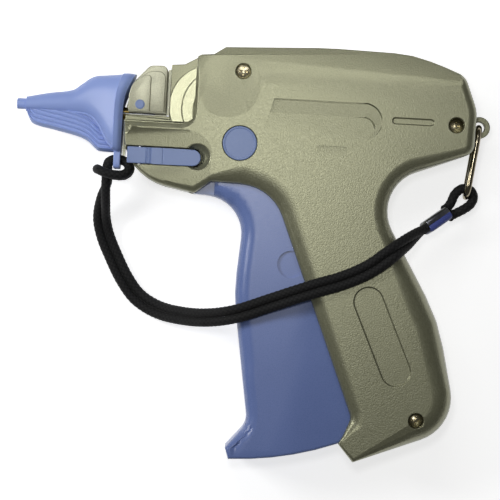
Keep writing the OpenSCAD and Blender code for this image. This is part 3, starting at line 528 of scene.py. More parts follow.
def bevel(bm: bmesh.types.BMesh, edges: Sequence[bmesh.types.BMEdge], width: float, segments: int = 2) -> None:
    """Rounds edges.

    Args:
        bm: Shape to change.
        edges: Edges of the shape.
        width: Width of the rounding in millimetres.
        segments: Steps of the rounding.
    """
    bmesh.ops.bevel(
        bm, geom=list(edges), offset=width * MM, offset_type="OFFSET", affect="EDGES", segments=segments, profile=0.5,
        material=-1, clamp_overlap=False,
    )


def stray_points(bm: bmesh.types.BMesh, skin: BVHTree, slack: float) -> list[Vector]:
    """Corners of the triangles that lie off a skin.

    Args:
        bm: Shape to look at.
        skin: Skin that the shape had.
        slack: Distance from the skin that is let pass, in metres.

    Returns:
        The corners.
    """
    strays = []
    for loops in bm.calc_loop_triangles():
        corners = [loop.vert.co for loop in loops]
        spots = [*corners, sum(corners, Vector()) / 3]
        if any(skin.find_nearest(spot)[3] > slack for spot in spots):
            strays += [c.copy() for c in corners]
    return strays


def comes_near(edge: bmesh.types.BMEdge, tree: KDTree, reach: float, parts: int = 8) -> bool:
    """Whether an edge passes close to any of some points.

    Args:
        edge: Edge to walk along.
        tree: The points.
        reach: Distance that counts as close, in metres.
        parts: Steps of the walk.

    Returns:
        True where it does.
    """
    start, end = (v.co for v in edge.verts)
    reach += edge.calc_length() / parts / 2
    return any(tree.find(start.lerp(end, k / parts))[2] < reach for k in range(parts + 1))


def round_edges(bm: bmesh.types.BMesh, width: float, angle: float, tries: int = 5) -> None:
    """Rounds the sharp edges of a shape, apart from those where the rounding would leave its skin.

    Args:
        bm: Shape to change.
        width: Width of the rounding in millimetres.
        angle: Edges sharper than this many degrees are rounded.
        tries: Most times that edges are left out.
    """
    slack, reach = 0.5 * width * MM, 1.2 * width * MM
    skin = BVHTree.FromBMesh(bm)
    sharp = sharp_edges(bm, angle)
    for edge in sharp:
        edge.smooth = False
    for _ in range(tries):
        bm.edges.index_update()
        trial = bm.copy()
        trial.edges.ensure_lookup_table()
        bevel(trial, [trial.edges[e.index] for e in sharp], width)
        strays = stray_points(trial, skin, slack)
        trial.free()
        LOG.info("%d edges to round, %d points off the skin", len(sharp), len(strays))
        if not strays:
            break
        tree = KDTree(len(strays))
        for k, spot in enumerate(strays):
            tree.insert(spot, k)
        tree.balance()
        sharp = [e for e in sharp if not comes_near(e, tree, reach)]
    for edge in sharp:
        edge.smooth = True
    bevel(bm, sharp, width)


def rounded_piece(bm: bmesh.types.BMesh, name: str, width: float, angle: float = 45.0) -> bpy.types.Object:
    """Piece with rounded edges, whose flats are shaded flat up to the edges that stay sharp.

    Args:
        bm: Shape in the row frame, which is freed.
        name: Name of the piece.
        width: Width of the rounding in millimetres.
        angle: Edges sharper than this many degrees are rounded.

    Returns:
        The piece.
    """
    round_edges(bm, width, angle)
    piece = new_piece(bm, name)
    normal = piece.modifiers.new("flat_faces", "WEIGHTED_NORMAL")
    normal.weight = 50
    normal.keep_sharp = True
    return piece


def creased_piece(bm: bmesh.types.BMesh, name: str, angle: float) -> bpy.types.Object:
    """Piece that is shaded smooth but for its creases.

    Args:
        bm: Shape in the row frame, which is freed.
        name: Name of the piece.
        angle: Edges sharper than this many degrees are creases.

    Returns:
        The piece.
    """
    piece = new_piece(bm, name)
    piece.data.set_sharp_from_angle(angle=math.radians(angle))
    return piece


def settle(piece: bpy.types.Object, palette: Palette, body: Body, slot: Slot, *nodes: str) -> bpy.types.Object:
    """Makes a finished piece ride, take its finish and stand for CAD nodes.

    Args:
        piece: Piece in place.
        palette: Finishes.
        body: Body that it moves with.
        slot: Slot of its finish.
        nodes: CAD nodes that it stands for.

    Returns:
        The piece.
    """
    palette.dress(piece, slot)
    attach(piece, body.value)
    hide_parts(*nodes)
    LOG.info("%s rides on %s for %s", piece.name, body.value, ", ".join(nodes))
    return piece


def weights(t: float) -> tuple[float, float, float, float]:
    """Weights of start, leaving slope, end and arriving slope on a smooth curve, at a share of the way."""
    return 2 * t**3 - 3 * t**2 + 1, t**3 - 2 * t**2 + t, 3 * t**2 - 2 * t**3, t**3 - t**2


def through(points: Sequence[Vector], step: float, parts: int = 24) -> list[Vector]:
    """Smooth path through points, with even spacing.

    Args:
        points: Points in order.
        step: Spacing of the result in millimetres.
        parts: Steps of the curve from one point to the next.

    Returns:
        Points of the path.
    """
    fine: list[Vector] = []
    last = len(points) - 1
    for i in range(last):
        a, b = points[i], points[i + 1]
        chord = (b - a).length
        leave = (b - points[i - 1]).normalized() * chord if i > 0 else b - a
        arrive = (points[i + 2] - a).normalized() * chord if i + 2 <= last else b - a
        for k in range(parts):
            w = weights(k / parts)
            fine.append(a * w[0] + leave * w[1] + b * w[2] + arrive * w[3])
    fine.append(points[last])
    reach = [0.0]
    for a, b in zip(fine, fine[1:]):
        reach.append(reach[-1] + (b - a).length)
    count = max(2, round(reach[-1] / (step * MM)))
    even, i = [], 0
    for k in range(count + 1):
        want = reach[-1] * k / count
        while i < len(reach) - 2 and reach[i + 1] < want:
            i += 1
        even.append(fine[i].lerp(fine[i + 1], (want - reach[i]) / (reach[i + 1] - reach[i])))
    return even


def frames_along(path: Sequence[Vector]) -> list[Matrix]:
    """Frames along a path that don't twist, with Z along it.

    Args:
        path: Points of the path.

    Returns:
        One matrix for each point.
    """
    side = Vector((0.31, 0.17, 0.93))
    frames = []
    for i, point in enumerate(path):
        ahead = (path[min(i + 1, len(path) - 1)] - path[max(i - 1, 0)]).normalized()
        side = (side - ahead * side.dot(ahead)).normalized()
        other = ahead.cross(side)
        turn = Matrix((side, other, ahead)).transposed().to_4x4()
        frames.append(Matrix.Translation(point) @ turn)
    return frames


def sweep(
    path: Sequence[Vector],
    radius: float,
    sides: int,
    relief: Callable[[float, float], float] | None = None,
) -> bmesh.types.BMesh:
    """Tube along a path, with a map of metres along it and turns round it.

    Args:
        path: Evenly spaced points.
        radius: Outer radius in metres.
        sides: Points round the tube.
        relief: Share of the radius at a place along and a turn round.

    Returns:
        The tube, closed at both ends.
    """
    bm = bmesh.new()
    spoke = bm.verts.layers.int.new("spoke")
    ring = bm.verts.layers.int.new("ring")
    chart = bm.loops.layers.uv.new("along_and_round")
    made = bmesh.ops.create_circle(bm, cap_ends=False, radius=radius, segments=sides)["verts"]
    for vert in made:
        vert[spoke] = round(math.atan2(vert.co.y, vert.co.x) / math.tau * sides) % sides
    frames = frames_along(path)
    bmesh.ops.transform(bm, matrix=frames[0], verts=made)
    edges = list(bm.edges)
    bmesh.ops.contextual_create(bm, geom=edges)
    for i in range(1, len(frames)):
        out = bmesh.ops.extrude_edge_only(bm, edges=edges)["geom"]
        verts, edges = verts_of(out), edges_of(out)
        bmesh.ops.transform(bm, matrix=frames[i] @ frames[i - 1].inverted(), verts=verts)
        for vert in verts:
            vert[ring] = i
    bmesh.ops.contextual_create(bm, geom=edges)
    step = (path[1] - path[0]).length
    if relief:
        for vert in bm.verts:
            centre = path[vert[ring]]
            share = relief(vert[ring] * step, vert[spoke] / sides)
            vert.co = centre + (vert.co - centre) * share
    for face in bm.faces:
        wraps = {loop.vert[spoke] for loop in face.loops} >= {0, sides - 1}
        for loop in face.loops:
            turn = loop.vert[spoke] + (sides if wraps and loop.vert[spoke] == 0 else 0)
            loop[chart].uv = (loop.vert[ring] * step, turn / sides)
    bmesh.ops.recalc_face_normals(bm, faces=bm.faces[:])
    return bm


def loft(rings: Sequence[Sequence[Vector]]) -> bmesh.types.BMesh:
    """Skin over rings, closed at both ends.

    Args:
        rings: Rings with the same number of points.

    Returns:
        The shape.
    """
    count = len(rings[0])
    bm = bmesh.new()
    spoke = bm.verts.layers.int.new("spoke")
    verts = bmesh.ops.create_circle(bm, cap_ends=False, radius=1.0, segments=count)["verts"]
    for vert in verts:
        vert[spoke] = round(math.atan2(vert.co.y, vert.co.x) / math.tau * count) % count
    edges = list(bm.edges)
    bmesh.ops.contextual_create(bm, geom=edges)
    for i, ring in enumerate(rings):
        if i > 0:
            out = bmesh.ops.extrude_edge_only(bm, edges=edges)["geom"]
            verts, edges = verts_of(out), edges_of(out)
        for vert in verts:
            vert.co = ring[vert[spoke]]
    bmesh.ops.contextual_create(bm, geom=edges)
    bmesh.ops.recalc_face_normals(bm, faces=bm.faces[:])
    return bm


def between(rows: Sequence[Sequence[float]], parts: int) -> list[list[float]]:
    """Rows of numbers with smooth rows added between them.

    Args:
        rows: Rows whose first number grows.
        parts: Steps from one row to the next.

    Returns:
        The longer list of rows.
    """
    last = len(rows) - 1
    out = []
    for i in range(last):
        a, b = rows[i], rows[i + 1]
        before, after = rows[max(i - 1, 0)], rows[min(i + 2, last)]
        width = b[0] - a[0]
        for k in range(parts):
            w = weights(k / parts)
            row = []
            for p, q, r, u in zip(before, a, b, after):
                leave = (r - p) / (b[0] - before[0]) * width
                arrive = (u - q) / (after[0] - a[0]) * width
                row.append(q * w[0] + leave * w[1] + r * w[2] + arrive * w[3])
            out.append(row)
    return out + [list(rows[last])]


def soften(bm: bmesh.types.BMesh, width: float, angle: float, segments: int = 3) -> None:
    """Rounds all sharp edges of a shape.

    Args:
        bm: Shape to change.
        width: Width of the rounding in millimetres.
        angle: Edges sharper than this many degrees are rounded.
        segments: Steps of the rounding.
    """
    bevel(bm, sharp_edges(bm, angle), width, segments)


def plate(
    corners: Sequence[tuple[float, float, float]],
    low: float,
    high: float,
    segments: int = 8,
) -> bmesh.types.BMesh:
    """Upright plate with rounded corners.

    Args:
        corners: Corners in order, as x, y and radius in millimetres.
        low: Level of its underside.
        high: Level of its top.
        segments: Steps of each rounded corner.

    Returns:
        The shape.
    """
    bm = bmesh.new()
    count = len(corners)
    verts = bmesh.ops.create_circle(bm, cap_ends=True, radius=1.0, segments=count)["verts"]
    verts.sort(key=lambda v: math.atan2(v.co.y, v.co.x) % math.tau)
    spots = [mm(x, y, low) for x, y, _ in corners]
    for vert, spot in zip(verts, spots):
        vert.co = spot
    for i, (_, _, radius) in enumerate(corners):
        if radius > 0:
            ways = (spots[i - 1] - spots[i], spots[(i + 1) % count] - spots[i])
            reach = radius * MM / math.tan(ways[0].angle(ways[1]) / 2)
            bmesh.ops.bevel(
                bm, geom=[verts[i]], offset=reach, offset_type="OFFSET", affect="VERTICES", segments=segments,
                profile=0.5, material=-1,
            )
    top = bmesh.ops.extrude_face_region(bm, geom=bm.faces[:])["geom"]
    bmesh.ops.translate(bm, vec=mm(0, 0, high - low), verts=verts_of(top))
    bmesh.ops.recalc_face_normals(bm, faces=bm.faces[:])
    return bm


def take_in(bm: bmesh.types.BMesh, *others: bmesh.types.BMesh) -> bmesh.types.BMesh:
    """Adds shapes to a shape.

    Args:
        bm: Shape to add to.
        others: Shapes to add, which are freed.

    Returns:
        The first shape.
    """
    for other in others:
        mesh = bpy.data.meshes.new("part")
        other.to_mesh(mesh)
        other.free()
        bm.from_mesh(mesh)
        bpy.data.meshes.remove(mesh)
    return bm


@dataclass(frozen=True)
class Lamp:
    """Soft lamp: its place, the point that it faces, the width and height of its face, and its power in watts."""

    name: str
    at: tuple[float, float, float]
    aim: tuple[float, float, float]
    size: tuple[float, float]
    power: float

    def build(self) -> None:
        """Adds the lamp to the scene."""
        data = bpy.data.lights.new(self.name, "AREA")
        data.shape = "RECTANGLE"
        data.size, data.size_y = self.size
        data.energy = self.power
        lamp = bpy.data.objects.new(self.name, data)
        lamp.location = self.at
        lamp.rotation_euler = (Vector(self.aim) - Vector(self.at)).to_track_quat("-Z", "Y").to_euler()
        bpy.context.scene.collection.objects.link(lamp)


@dataclass
class Studio:
    """Floor, light and camera over the object as it lies."""

    centre: tuple[float, float] = (1.4, 0.8)
    camera_height: float = 900.0
    half_view: float = 85.0
    view_level: float = PARTING
    roll: float = 3.2
    pale: float = 0.8
    lift: float = 0.7
    surround: float = 0.1
    floor_half: float = 3.0
    near_clip: float = 0.01
    lamps: tuple[Lamp, ...] = (
        Lamp("key", (-0.008, 0.148, 0.215), (-0.008, 0.036, 0.028), (0.2, 0.05), 0.13),
        Lamp("front", (-0.016, 0.06, 0.64), (-0.009, 0.036, 0.028), (0.06, 0.06), 0.48),
        Lamp("side", (-0.3, 0.08, 0.25), (-0.026, 0.052, 0.025), (0.12, 0.12), 0.52),
    )

    def camera(self) -> None:
        """Camera straight above the object, turned a little in its own plane."""
        data = bpy.data.cameras.new("camera")
        data.angle = 2 * math.atan(self.half_view / (self.camera_height - self.view_level))
        data.clip_start = self.near_clip
        camera = bpy.data.objects.new("camera", data)
        camera.location = mm(*self.centre, self.camera_height)
        camera.rotation_euler = (0, 0, math.radians(self.roll))
        bpy.context.scene.collection.objects.link(camera)
        bpy.context.scene.camera = camera

    def floor(self) -> None:
        """Pale floor that shows white in the picture and in metal, and keeps the shadow."""
        bm = bmesh.new()
        bmesh.ops.create_grid(bm, x_segments=1, y_segments=1, size=self.floor_half)
        floor = new_piece(bm, "floor")
        recipe = Recipe("floor_white")
        pale, lift = ((level, level, level, 1.0) for level in (self.pale, self.lift))
        recipe.feed(recipe.shader, {"Base Color": pale, "Roughness": 0.9, "Specular IOR Level": 0.0})
        path = recipe.add("ShaderNodeLightPath", {}).outputs
        seen = recipe.sums("MAXIMUM", path["Is Camera Ray"], path["Is Glossy Ray"])
        seen = recipe.sums("MAXIMUM", seen, path["Is Transmission Ray"])
        glow = recipe.add("ShaderNodeEmission", {"Color": lift, "Strength": seen})
        both = recipe.add("ShaderNodeAddShader", {0: recipe.shader.outputs[0], 1: glow.outputs[0]})
        recipe.feed(recipe.tree.nodes["Material Output"], {0: both.outputs[0]})
        floor.data.materials.append(recipe.material)

    def sky(self) -> None:
        """Dim even surroundings."""
        world = bpy.data.worlds.new("surroundings")
        world.use_nodes = True
        back = world.node_tree.nodes["Background"]
        back.inputs["Color"].default_value = (1.0, 1.0, 1.0, 1.0)
        back.inputs["Strength"].default_value = self.surround
        bpy.context.scene.world = world

    def build(self) -> None:
        """Sets up the whole studio."""
        bpy.context.scene.view_settings.view_transform = "Standard"
        self.camera()
        self.floor()
        self.sky()
        for lamp in self.lamps:
            lamp.build()


@dataclass
class Strap:
    """Braided wrist strap: the folded cord with its hitch, ferrule, end loop and wire link."""

    palette: Palette
    diameter: float = 3.0
    pair_half: float = 1.54
    route: tuple[tuple[float, float, float, float], ...] = (
        (-48.6, 20.4, 13.0, 90), (-49.6, 15.0, 9.4, 50), (-50.0, 9.0, 5.0, 15), (-48.6, 3.0, 2.6, 2),
        (-45.4, -4.0, 1.7, 0), (-41.3, -11.4, 1.7, 0), (-36.4, -17.4, 1.9, 0), (-29.6, -21.2, 4.4, 0),
        (-21.4, -22.8, 11.0, 0), (-11.8, -22.8, 19.6, 0), (-2.0, -20.8, 26.0, 0), (9.0, -16.6, 27.2, 0),
        (18.6, -12.8, 29.6, 0), (25.0, -10.4, 30.1, 0), (33.0, -7.6, 30.0, 0), (41.4, -3.4, 30.0, 0),
        (48.4, 2.0, 30.1, 8), (53.4, 6.0, 26.0, 40), (57.0, 8.9, 21.6, 70),
    )
    hitch: tuple[tuple[float, float, float], ...] = (
        (-48.6, 25.2, 1.6), (-48.1, 28.0, 1.6), (-45.6, 29.0, 1.6), (-42.6, 28.4, 2.1), (-41.0, 26.2, 3.1),
        (-42.6, 24.0, 4.1), (-46.0, 23.7, 4.7), (-49.2, 24.3, 4.7), (-51.2, 25.1, 3.5),
    )
    fold: tuple[float, float, float] = (-52.0, 25.4, PARTING)
    mid_level: float = PARTING
    ferrule_low: tuple[float, float, float] = (60.2, 11.4, 18.8)
    ferrule_way: tuple[float, float, float] = (0.76, 0.58, -0.42)
    ferrule_len: float = 9.8
    ferrule_size: tuple[float, float] = (4.6, 6.4)
    lead: float = 1.6
    loop: tuple[tuple[float, float, float], ...] = (
        (68.6, 20.6, 15.2), (69.9, 23.6, 14.4), (72.2, 25.6, 14.0), (74.8, 25.4, 13.9), (76.2, 23.2, 14.0),
        (75.4, 20.6, 14.4), (73.0, 18.6, 15.0),
    )
    eye: tuple[float, float] = (76.7, 46.5)
    link_turn: float = -97.5
    link_size: tuple[float, float] = (26.0, 10.4)
    wire: float = 1.1
    groove: float = 0.98
    crown: float = 1.1
    step: float = 0.4
    sides: int = 24
    stretch: tuple[tuple[float, float, float], ...] = ((-30.0, -21.0, 0.0), (-48.0, 20.0, 0.0))
    ferrule_round: float = 1.1
    ferrule_edge: float = 0.25
    ferrule_angle: float = 51.6
    ferrule_seam: float = 0.1
    wire_step: float = 0.35
    wire_sides: int = 16
    wire_seam: float = 0.2

    def axes(self) -> tuple[Vector, Vector, Vector]:
        """Directions of the ferrule.

        Returns:
            The ways along it, across it and up.
        """
        ahead = Vector(self.ferrule_way).normalized()
        side = Vector((-ahead.y, ahead.x, 0)).normalized()
        return ahead, side, ahead.cross(side)

    def strand(self, side: int) -> list[Vector]:
        """One strand of the folded cord.

        Args:
            side: Which of the two strands, -1 or 1.

        Returns:
            Points from the hitch to the ferrule.
        """
        points = []
        for i, (x, y, z, turn) in enumerate(self.route):
            before = Vector(self.route[max(i - 1, 0)][:3])
            after = Vector(self.route[min(i + 1, len(self.route) - 1)][:3])
            ahead = (after - before).normalized()
            beside = Vector((-ahead.y, ahead.x, 0)).normalized()
            over = ahead.cross(beside)
            a = math.radians(turn)
            points.append(mm(x, y, z) + (beside * math.cos(a) + over * math.sin(a)) * side * self.pair_half * MM)
        ahead, _, up = self.axes()
        end = mm(*self.ferrule_low) + up * side * self.pair_half * MM
        return points + [end - ahead * self.lead * MM, end]

    def braid(self, along: float, turn: float) -> float:
        """Share of the radius on the braid.

        Args:
            along: Metres along the cord.
            turn: Turns round the cord.

        Returns:
            The share, just over 1 on the crowns of the yarns.
        """
        a = math.sin(math.pi * (turn * BRAID_LUMPS + along / BRAID_PITCH))
        b = math.sin(math.pi * (turn * BRAID_LUMPS - along / BRAID_PITCH))
        return self.groove + (self.crown - self.groove) * math.sqrt(abs(a * b))

    def cord(self) -> tuple[bpy.types.Object, list[Vector]]:
        """The folded cord from the ferrule through the hitch and back.

        Returns:
            The piece and the path that it follows.
        """
        low = [mm(x, y, self.mid_level - h) for x, y, h in self.hitch]
        high = [mm(x, y, self.mid_level + h) for x, y, h in reversed(self.hitch)]
        points = self.strand(-1)[::-1] + low + [mm(*self.fold)] + high + self.strand(1)
        path = through(points, self.step)
        room = self.diameter / 2 * MM * self.crown
        for point in path:
            point.z = min(max(point.z, cad_box[0][2] + room), cad_box[1][2] - room)
        piece = new_piece(sweep(path, self.diameter / 2 * MM, self.sides, self.braid), "strap_cord_braid")
        self.palette.dress(piece, Slot.CORD)
        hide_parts("strap_cord", "strap_hitch")
        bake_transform(piece, Body.CASING.value, Body.NEEDLE_CAP.value, *(mm(*spot) for spot in self.stretch))
        return piece, path

    def end_loop(self) -> bpy.types.Object:
        """Short loop of the same cord through the wire link.

        Returns:
            The piece.
        """
        ahead, side, _ = self.axes()
        top = mm(*self.ferrule_low) + ahead * self.ferrule_len * MM
        ends = [top + side * self.pair_half * MM * s for s in (1, -1)]
        inner = [mm(*p) for p in self.loop]
        points = [ends[0], ends[0] + ahead * self.lead * MM] + inner + [ends[1] + ahead * self.lead * MM, ends[1]]
        path = through(points, self.step)
        piece = new_piece(sweep(path, self.diameter / 2 * MM, self.sides, self.braid), "strap_loop_braid")
        return settle(piece, self.palette, Body.CASING, Slot.CORD, "strap_loop")

    def ferrule(self, half: int, name: str, slot: Slot, node: str) -> bpy.types.Object:
        """One half of the ferrule.

        Args:
            half: Which half, -1 or 1.
            name: Name of the piece.
            slot: Slot of its finish.
            node: CAD node that it stands for.

        Returns:
            The piece.
        """
        width, height = self.ferrule_size
        bm = bmesh.new()
        bmesh.ops.create_cube(bm, size=1.0)
        bmesh.ops.scale(bm, vec=mm(self.ferrule_len, width / 2, height), verts=bm.verts[:])
        bmesh.ops.translate(bm, vec=mm(self.ferrule_len / 2, half * width / 4, 0), verts=bm.verts[:])
        outer = [e for e in bm.edges if all(v.co.y * half > self.ferrule_seam * MM for v in e.verts)]
        bevel(bm, outer, self.ferrule_round, 4)
        soften(bm, self.ferrule_edge, self.ferrule_angle, 2)
        ahead, side, up = self.axes()
        turn = Matrix((ahead, side, up)).transposed().to_4x4()
        bmesh.ops.transform(bm, matrix=Matrix.Translation(mm(*self.ferrule_low)) @ turn, verts=bm.verts[:])
        return settle(new_piece(bm, name), self.palette, Body.CASING, slot, node)

    def link(self) -> bpy.types.Object:
        """Oval wire link through the eye of the casing.

        Returns:
            The piece.
        """
        length, width = self.link_size
        r = width / 2 - self.wire
        straight = length - width
        half_turn = [math.radians(10 * k) for k in range(19)]
        around = [Vector((r - r * math.sin(a), r * math.cos(a), 0)) for a in half_turn]
        back = [Vector((r + straight + r * math.sin(a), -r * math.cos(a), 0)) for a in half_turn]
        upright = Matrix.Rotation(math.radians(90), 4, "X")
        turn = Matrix.Rotation(math.radians(self.link_turn), 4, "Z")
        place = Matrix.Translation(mm(*self.eye, self.mid_level)) @ turn @ upright
        path = through([place @ (p * MM) for p in around + back + around[:1]], self.wire_step)
        bm = sweep(path, self.wire * MM, self.wire_sides)
        bmesh.ops.delete(bm, geom=[f for f in bm.faces if len(f.verts) > 4], context="FACES_ONLY")
        bmesh.ops.remove_doubles(bm, verts=bm.verts[:], dist=self.wire_seam * MM)
        return settle(new_piece(bm, "strap_wire_link"), self.palette, Body.CASING, Slot.LINK, "strap_link")

    def build(self) -> None:
        """Makes the strap."""
        cord, path = self.cord()
        pieces = [
            self.end_loop(),
            self.ferrule(-1, "strap_ferrule_sleeve", Slot.SLEEVE, "strap_sleeve"),
            self.ferrule(1, "strap_ferrule_crimp", Slot.CRIMP, "strap_crimp"),
            self.link(),
        ]


@dataclass
class Casing:
    """Two casing halves and the screws that hold them."""

    palette: Palette
    edge: float = 0.3
    places: tuple[tuple[float, float, float], ...] = ((-4.1, 60.5, 24.6), (68.2, 46.3, 22.0), (60.1, -53.3, 22.0))
    head_r: float = 2.4
    head_t: float = 1.6
    head_cells: int = 14
    dome: float = 0.22
    cross_reach: float = 0.62
    cross_half: float = 0.15
    cross_depth: float = 0.42
    cross_taper: float = 0.8
    bore_r: float = 3.0
    lap: float = 0.05
    crease: float = 35.0

    def shell(self, node: str, name: str) -> bpy.types.Object:
        """One casing half with its edges rounded.

        Args:
            node: CAD node of the half.
            name: Name of the piece.

        Returns:
            The piece.
        """
        piece = rounded_piece(merged_copy(node), name, self.edge)
        return settle(piece, self.palette, Body.CASING, Slot.CASING, node)

    def screw_head(self, at: tuple[float, float, float]) -> bmesh.types.BMesh:
        """Round screw head with a cross recess.

        Args:
            at: Middle of the head's underside, in millimetres.

        Returns:
            The head.
        """
        bm = bmesh.new()
        bmesh.ops.create_grid(bm, x_segments=self.head_cells, y_segments=self.head_cells, size=1.0)
        cross = []
        for face in bm.faces:
            x, y = (abs(c) for c in face.calc_center_median()[:2])
            if max(x, y) < self.cross_reach and min(x, y) < self.cross_half:
                cross.append(face)
        for vert in bm.verts:
            x, y = vert.co.x, vert.co.y
            vert.co = Vector((x * math.sqrt(1 - y * y / 2), y * math.sqrt(1 - x * x / 2), 0))
            vert.co.z = self.dome * (1 - vert.co.xy.length_squared)
        sunk = bmesh.ops.extrude_face_region(bm, geom=cross)["geom"]
        bmesh.ops.delete(bm, geom=cross, context="FACES_ONLY")
        floor = verts_of(sunk)
        bmesh.ops.translate(bm, vec=Vector((0, 0, -self.cross_depth)), verts=floor)
        bmesh.ops.scale(bm, vec=Vector((self.cross_taper, self.cross_taper, 1.0)), verts=floor)
        rim = [e for e in bm.edges if e.is_boundary]
        skirt = bmesh.ops.extrude_edge_only(bm, edges=rim)["geom"]
        bmesh.ops.translate(bm, vec=Vector((0, 0, -self.head_t / self.head_r + self.dome)), verts=verts_of(skirt))
        bmesh.ops.contextual_create(bm, geom=edges_of(skirt))
        bmesh.ops.scale(bm, vec=Vector((1, 1, 1)) * self.head_r * MM, verts=bm.verts[:])
        lift = self.head_t - self.dome * self.head_r
        bmesh.ops.translate(bm, vec=mm(at[0], at[1], at[2] + lift), verts=bm.verts[:])
        bmesh.ops.recalc_face_normals(bm, faces=bm.faces[:])
        return bm

    def screws(self) -> bpy.types.Object:
        """The three screw heads as one piece, on the CAD shanks.

        Returns:
            The piece.
        """
        joined = merged_copy("casing_screws")
        tops = [v for v in joined.verts if any(
            v.co.z > (z + self.lap) * MM and (v.co.xy - mm(x, y)).length < self.bore_r * MM for x, y, z in self.places
        )]
        bmesh.ops.delete(joined, geom=tops, context="VERTS")
        take_in(joined, *(self.screw_head(at) for at in self.places))
        piece = creased_piece(joined, "casing_screw_set", self.crease)
        return settle(piece, self.palette, Body.CASING, Slot.SCREW, "casing_screws")

    def build(self) -> None:
        """Makes both halves and the screws."""
        self.shell("upper_shell", "casing_upper_half")
        self.shell("lower_shell", "casing_lower_half")
        self.screws()


